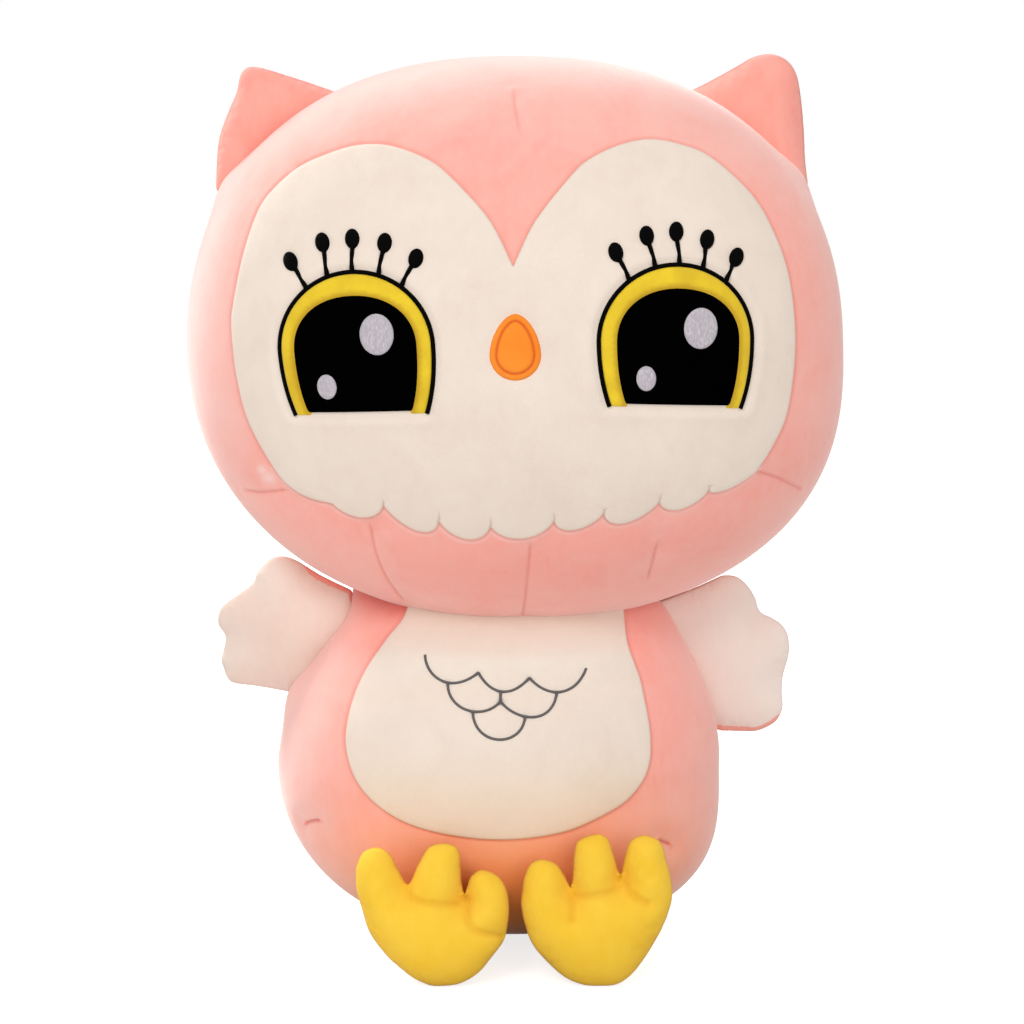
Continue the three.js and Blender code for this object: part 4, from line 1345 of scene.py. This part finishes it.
def inflated(shape, seam, half_thickness):
    """The shape blown up like stuffing by a cloth simulation, held along its seam."""
    scale = 10 * MM
    cloth = linked("stuffing", shape.points * (1, FLAT_SHARE, 1) * scale, shape.faces)
    cloth.vertex_groups.new(name="seam").add(seam, 1.0, "REPLACE")
    modifier = cloth.modifiers.new("cloth", "CLOTH")
    for setting, value in CLOTH.items():
        setattr(modifier.settings, setting, value)
    modifier.settings.effector_weights.gravity = 0
    modifier.collision_settings.use_collision = False
    modifier.point_cache.frame_start = 1
    modifier.point_cache.frame_end = FRAMES
    for step in range(1, FRAMES + 1):
        bpy.context.scene.frame_set(step)
    blown = cloth.evaluated_get(bpy.context.evaluated_depsgraph_get()).to_mesh()
    found = np.empty(len(shape.points) * 3)
    blown.vertices.foreach_get("co", found)
    bpy.data.objects.remove(cloth)
    move = found.reshape(-1, 3) / scale - shape.points
    move *= np.minimum(1, LONGEST_MOVE / np.maximum(length(move), 1e-9))[:, None]
    shape.points += move
    shape.points[:, 1] *= half_thickness / np.abs(shape.points[:, 1]).max()
    return shape


def subdivided(shape):
    """One more level of smooth faces."""
    finer = linked("finer", shape.points, shape.faces, shape.marks)
    finer.modifiers.new("finer", "SUBSURF").levels = 1
    made = finer.evaluated_get(bpy.context.evaluated_depsgraph_get()).to_mesh()
    points = np.array([v.co for v in made.vertices])
    faces = [tuple(face.vertices) for face in made.polygons]
    marks = {}
    for mark in shape.marks:
        values = np.empty(len(points), np.float32)
        made.attributes[mark].data.foreach_get("value", values)
        marks[mark] = values
    bpy.data.objects.remove(finer)
    return Shape(points, faces, **marks)


def pillow(outline, half_thickness):
    """Two panels sewn along an outline in the XZ plane and stuffed.

    The mark named panel is the distance from the seam, less than zero on the front.
    """
    outline = grown(even(outline, PANEL_SPACING * 0.75, True), SMOOTHING_LOSS)
    flat, faces, count = tiled(outline, PANEL_SPACING, PANEL_RINGS)
    away = line_distance(flat, outline, True)
    away[:count] = 0
    height = half_thickness * rounded(away / away.max())
    total = len(flat)
    front = np.stack([flat[:, 0], FRONT * height, flat[:, 1]], 1)
    back = np.stack([flat[count:, 0], height[count:], flat[count:, 1]], 1)
    index = np.concatenate([np.arange(count), np.arange(total, 2 * total - count)])
    sides = [tuple(index[v] for v in reversed(face)) for face in faces]
    seam = np.zeros(2 * total - count)
    seam[:count] = 1
    # The seam's crease mark paints shade along the seam
    shape = Shape(np.vstack([front, back]), faces + sides, crease=seam,
                  panel=np.concatenate([-away, away[count:]]))
    shape = inflated(shape, list(range(count)), half_thickness)
    return subdivided(shape)


def placed(shape, centre, turn):
    """A limb turned about Y and put in its place."""
    cos, sin = math.cos(turn), math.sin(turn)
    x, y, z = shape.points.T
    shape.points = np.stack([cos * x + sin * z, y, -sin * x + cos * z], 1) + centre
    return shape


def mirrored(places, side):
    """Places out from the middle of the owl, as places across it."""
    return np.array(places, float) * (side, 1)


def ear(name):
    side = SIDES[name]
    edge = spline(mirrored(EAR_EDGES[name], side), 6)
    root = mirrored([(across, -EAR_SUNK) for across in reversed(EAR_ROOT)], side)
    shape = pillow(anticlockwise(np.vstack([edge, root])), EAR_HALF_THICKNESS)
    centre = head_form.centre + (side * EAR_BASE_CENTRE[0], HEAD_SEAM_SETBACK, EAR_BASE_CENTRE[1])
    return placed(shape, centre, side * math.radians(EAR_SLOPE))


def body_side_at(height):
    share = abs((height - body_form.centre[2]) / body_form.rise) ** body_form.rise_power
    return body_form.half_width * (1 - share) ** (1 / body_form.rise_power)


def wing_root(name):
    """The low end of the wing's root on the body's side, and the direction up along it."""
    low, high = (np.array([body_form.centre[0] + SIDES[name] * body_side_at(z), 0, z])
                 for z in WING_ROOTS[name])
    return low, unit(high - low)


def wing(name):
    side = SIDES[name]
    low, along = wing_root(name)
    lobes = spline(mirrored(WING_EDGES[name], side), 6)
    ends = [(-side * WING_SUNK, lobes[-1, 1] - WING_SUNK), (-side * WING_SUNK, lobes[0, 1] + WING_SUNK)]
    shape = pillow(anticlockwise(np.vstack([lobes, ends])), WING_HALF_THICKNESS)
    out, up = shape.points[:, 0] * side, shape.points[:, 2]
    # Painted shade along the seam and on the right wing's lower part, and painted light over the left wing
    shape.marks["crease"] *= WING_SEAM_SHADE
    if name == "right":
        shape.marks["crease"] += WING_SHADE * ramp(up, *WING_SHADE_RAMP)
    else:
        shape.marks["pale"] = np.full(len(out), WING_PALE)
    out_ramp, up_ramp = WING_BACK_RAMPS[name]
    shows = ramp(out, *out_ramp) * ramp(up, *up_ramp) * (shape.points[:, 1] <= 0)
    shape.marks["panel"] += (WING_BACK_SHOWS[name] + WING_WRAP) * shows - WING_WRAP
    placed(shape, low, math.atan2(along[0], along[2]))
    shape.points = tucked(shape.points, -WING_CLEARANCE)
    return shape


def hinge_place(joint):
    return np.array(next(found["pos_m"] for found in frame["joints"] if found["name"] == joint)) / MM


def foot(name):
    """A foot as one pillow leaning back on the body, its heel thicker behind, creased below its toes."""
    side = SIDES[name]
    edge = spline(mirrored(FOOT_EDGES[name] + FOOT_EDGES[name][:1], side), 5)[:-1]
    shape = pillow(anticlockwise(edge), FOOT_HALF_THICKNESS)
    x, y, z = shape.points.T
    top, low = FOOT_HEEL_TOP
    heel = FOOT_HEEL_SHARE * smooth((top - z) / (top - low)) * smooth(z / FOOT_HEEL_RISE)
    y = np.where(y > 0, y * (1 + heel), y)
    lines = [spline(mirrored(line, side), 8) for line in FOOT_CREASES[name]]
    flat = np.stack([x, z], 1)
    for line in lines:
        away = line_distance(flat, line)
        pull = hump(away, TOE_GROOVE) + hump(away, TOE_DENT)
        y = np.where(y < 0, y + pull * smooth(-y / TOE_CREASE_ROOM), y)
        shape.marks["crease"] = np.maximum(shape.marks["crease"], (y < 0) * hump(away, TOE_SHADE))
    cos, sin = math.cos(math.radians(FOOT_LEAN)), math.sin(math.radians(FOOT_LEAN))
    shape.points = np.stack([x, y * cos + z * sin, np.maximum(z * cos - y * sin, 0)], 1)
    shape.points += (side * FOOT_SPACING, -FOOT_FRONT, 0)
    limit = body_form.front(shape.points[:, (0, 2)] - body_form.centre[[0, 2]])[:, 1]
    hinge_y = hinge_place(f"foot_{name}_fold")[1]
    limit = np.minimum(limit, hinge_y) - FOOT_CLEARANCE
    shape.points[:, 1] = np.minimum(shape.points[:, 1], limit)
    return shape


# Camera, floor and light
SENSOR_WIDTH = 36
LENS = 91.46
CAMERA_PLACE = (-0.00155, -1.33497, 0.38042)
CAMERA_ELEVATION = 7


def camera():
    data = bpy.data.cameras.new("camera")
    data.sensor_width = SENSOR_WIDTH
    data.lens = LENS
    thing = added("camera", data)
    thing.location = CAMERA_PLACE
    thing.rotation_euler = (math.radians(90 - CAMERA_ELEVATION), 0, 0)
    bpy.context.scene.camera = thing


# Each lamp's place, target, width and power
LAMPS = {
    "key_light": ((-0.75, -1.5, 1.5), (0, 0, 0.25), 1.0, 11.5),
    "fill_light": ((0.7, -1.6, 0.5), (0, 0, 0.25), 1.2, 6.1),
    "rim_light": ((-1.1, 1.0, 1.5), (0, 0, 0.35), 0.7, 29),
}
ROOM_LIGHT = 0.66
FLOOR_REACH = 4000
FLOOR_DROP = 0.3
FLOOR_SHADE = (0.62, 0.62, 0.62, 1)
FLOOR_GLOW = 0.77


def lamp(name, place, target, size, power):
    data = bpy.data.lights.new(name, "AREA")
    data.shape = "DISK"
    data.size = size
    data.energy = power
    thing = added(name, data)
    thing.location = place
    thing.rotation_euler = (Vector(target) - Vector(place)).to_track_quat("-Z", "Y").to_euler()


def studio():
    """Soft light all round, white where it is seen straight or in a reflection, and three lamps."""
    world = bpy.data.worlds.new("studio")
    world.use_nodes = True
    bpy.context.scene.world = world
    nodes = Nodes(world.node_tree)
    light, white = (nodes.shade("Background", {"Color": WHITE, "Strength": strength})
                    for strength in (ROOM_LIGHT, 1.0))
    ray = nodes.add("ShaderNodeLightPath").outputs
    seen = nodes.sum("MAXIMUM", ray["Is Camera Ray"], ray["Is Glossy Ray"])
    seen = nodes.sum("MAXIMUM", seen, ray["Is Transmission Ray"])
    nodes.shown("World Output", seen, light, white)
    for name, values in LAMPS.items():
        lamp(name, *values)


def floor():
    """A floor that is seen white, with the owl's shadow on it."""
    corners = [(-1, -1), (1, -1), (1, 1), (-1, 1)]
    shape = Shape([(x * FLOOR_REACH, y * FLOOR_REACH, -FLOOR_DROP) for x, y in corners], [range(4)])
    paint = Paint("white_floor")
    paint.set(Base_Color=FLOOR_SHADE, Roughness=0.9, Specular_IOR_Level=0.0)
    plain = paint.shader.outputs[0]
    glow = paint.shade("Emission", {"Color": WHITE, "Strength": FLOOR_GLOW})
    seen = paint.add("ShaderNodeLightPath").outputs["Is Camera Ray"]
    paint.shown("Material Output", seen, plain, paint.shade("AddShader", {0: plain, 1: glow}))
    mesh_object("floor", shape, paint.material)


# The whole owl
def build():
    stuffed = [
        (piece(f"{part}_cover", shape, pink, "plush_pink",
               [f"{part}_{panel}" for panel in ("front", "back", "filling")], body), 0.9)
        for part, shape, body in [("head", head_cover(), "head"), ("body", body_cover(), "neck")]
    ]
    piece("face_applique", face_patch(), cream, "plush_cream", ["face_patch"], "head")
    piece("belly_applique", belly_patch(), cream, "plush_cream", ["belly_patch"], "neck")
    piece("chest_feathers", chest_stitching(), grey_thread, "thread_grey", ["chest_stitching"], "torso")
    piece("beak_applique", beak(), orange, "felt_orange", ["beak_patch"], "head")
    piece("beak_stitches", beak_stitching(), orange_thread, "thread_orange", ["beak_stitching"], "head")
    for name in SIDES:
        piece(f"eye_edge_{name}", eye_outline(name), black_thread, "thread_black", [f"eye_outline_{name}"],
              "head")
        piece(f"eye_iris_{name}", iris(name), satin_yellow, "satin_yellow", [f"iris_{name}"], "head")
        piece(f"eye_pupil_{name}", pupil(name), black_cloth, "cloth_black", [f"pupil_{name}"], "head")
        for size in GLINTS:
            piece(f"eye_glint_{size}_{name}", glint(name, size), pale_thread, "thread_pale",
                  [f"glint_{size}_{name}"], "head")
        for limb, shape, material, slot, panels, fill in [
            ("ear", ear(name), coral, "plush_pink", ("front", "back"), 0.8),
            ("wing", wing(name), wing_cream, "plush_cream", ("front", "back"), 0.7),
            ("foot", foot(name), yellow, "plush_yellow", ("sole", "instep"), 0.85),
        ]:
            nodes = [f"{limb}_{name}_{part}" for part in (*panels, "filling")]
            skin = piece(f"{limb}_skin_{name}", shape, material, slot, nodes, f"{limb}_{name}")
            stuffed.append((skin, fill))


camera()
studio()
floor()
build()
bpy.context.scene.view_settings.view_transform = "Standard"
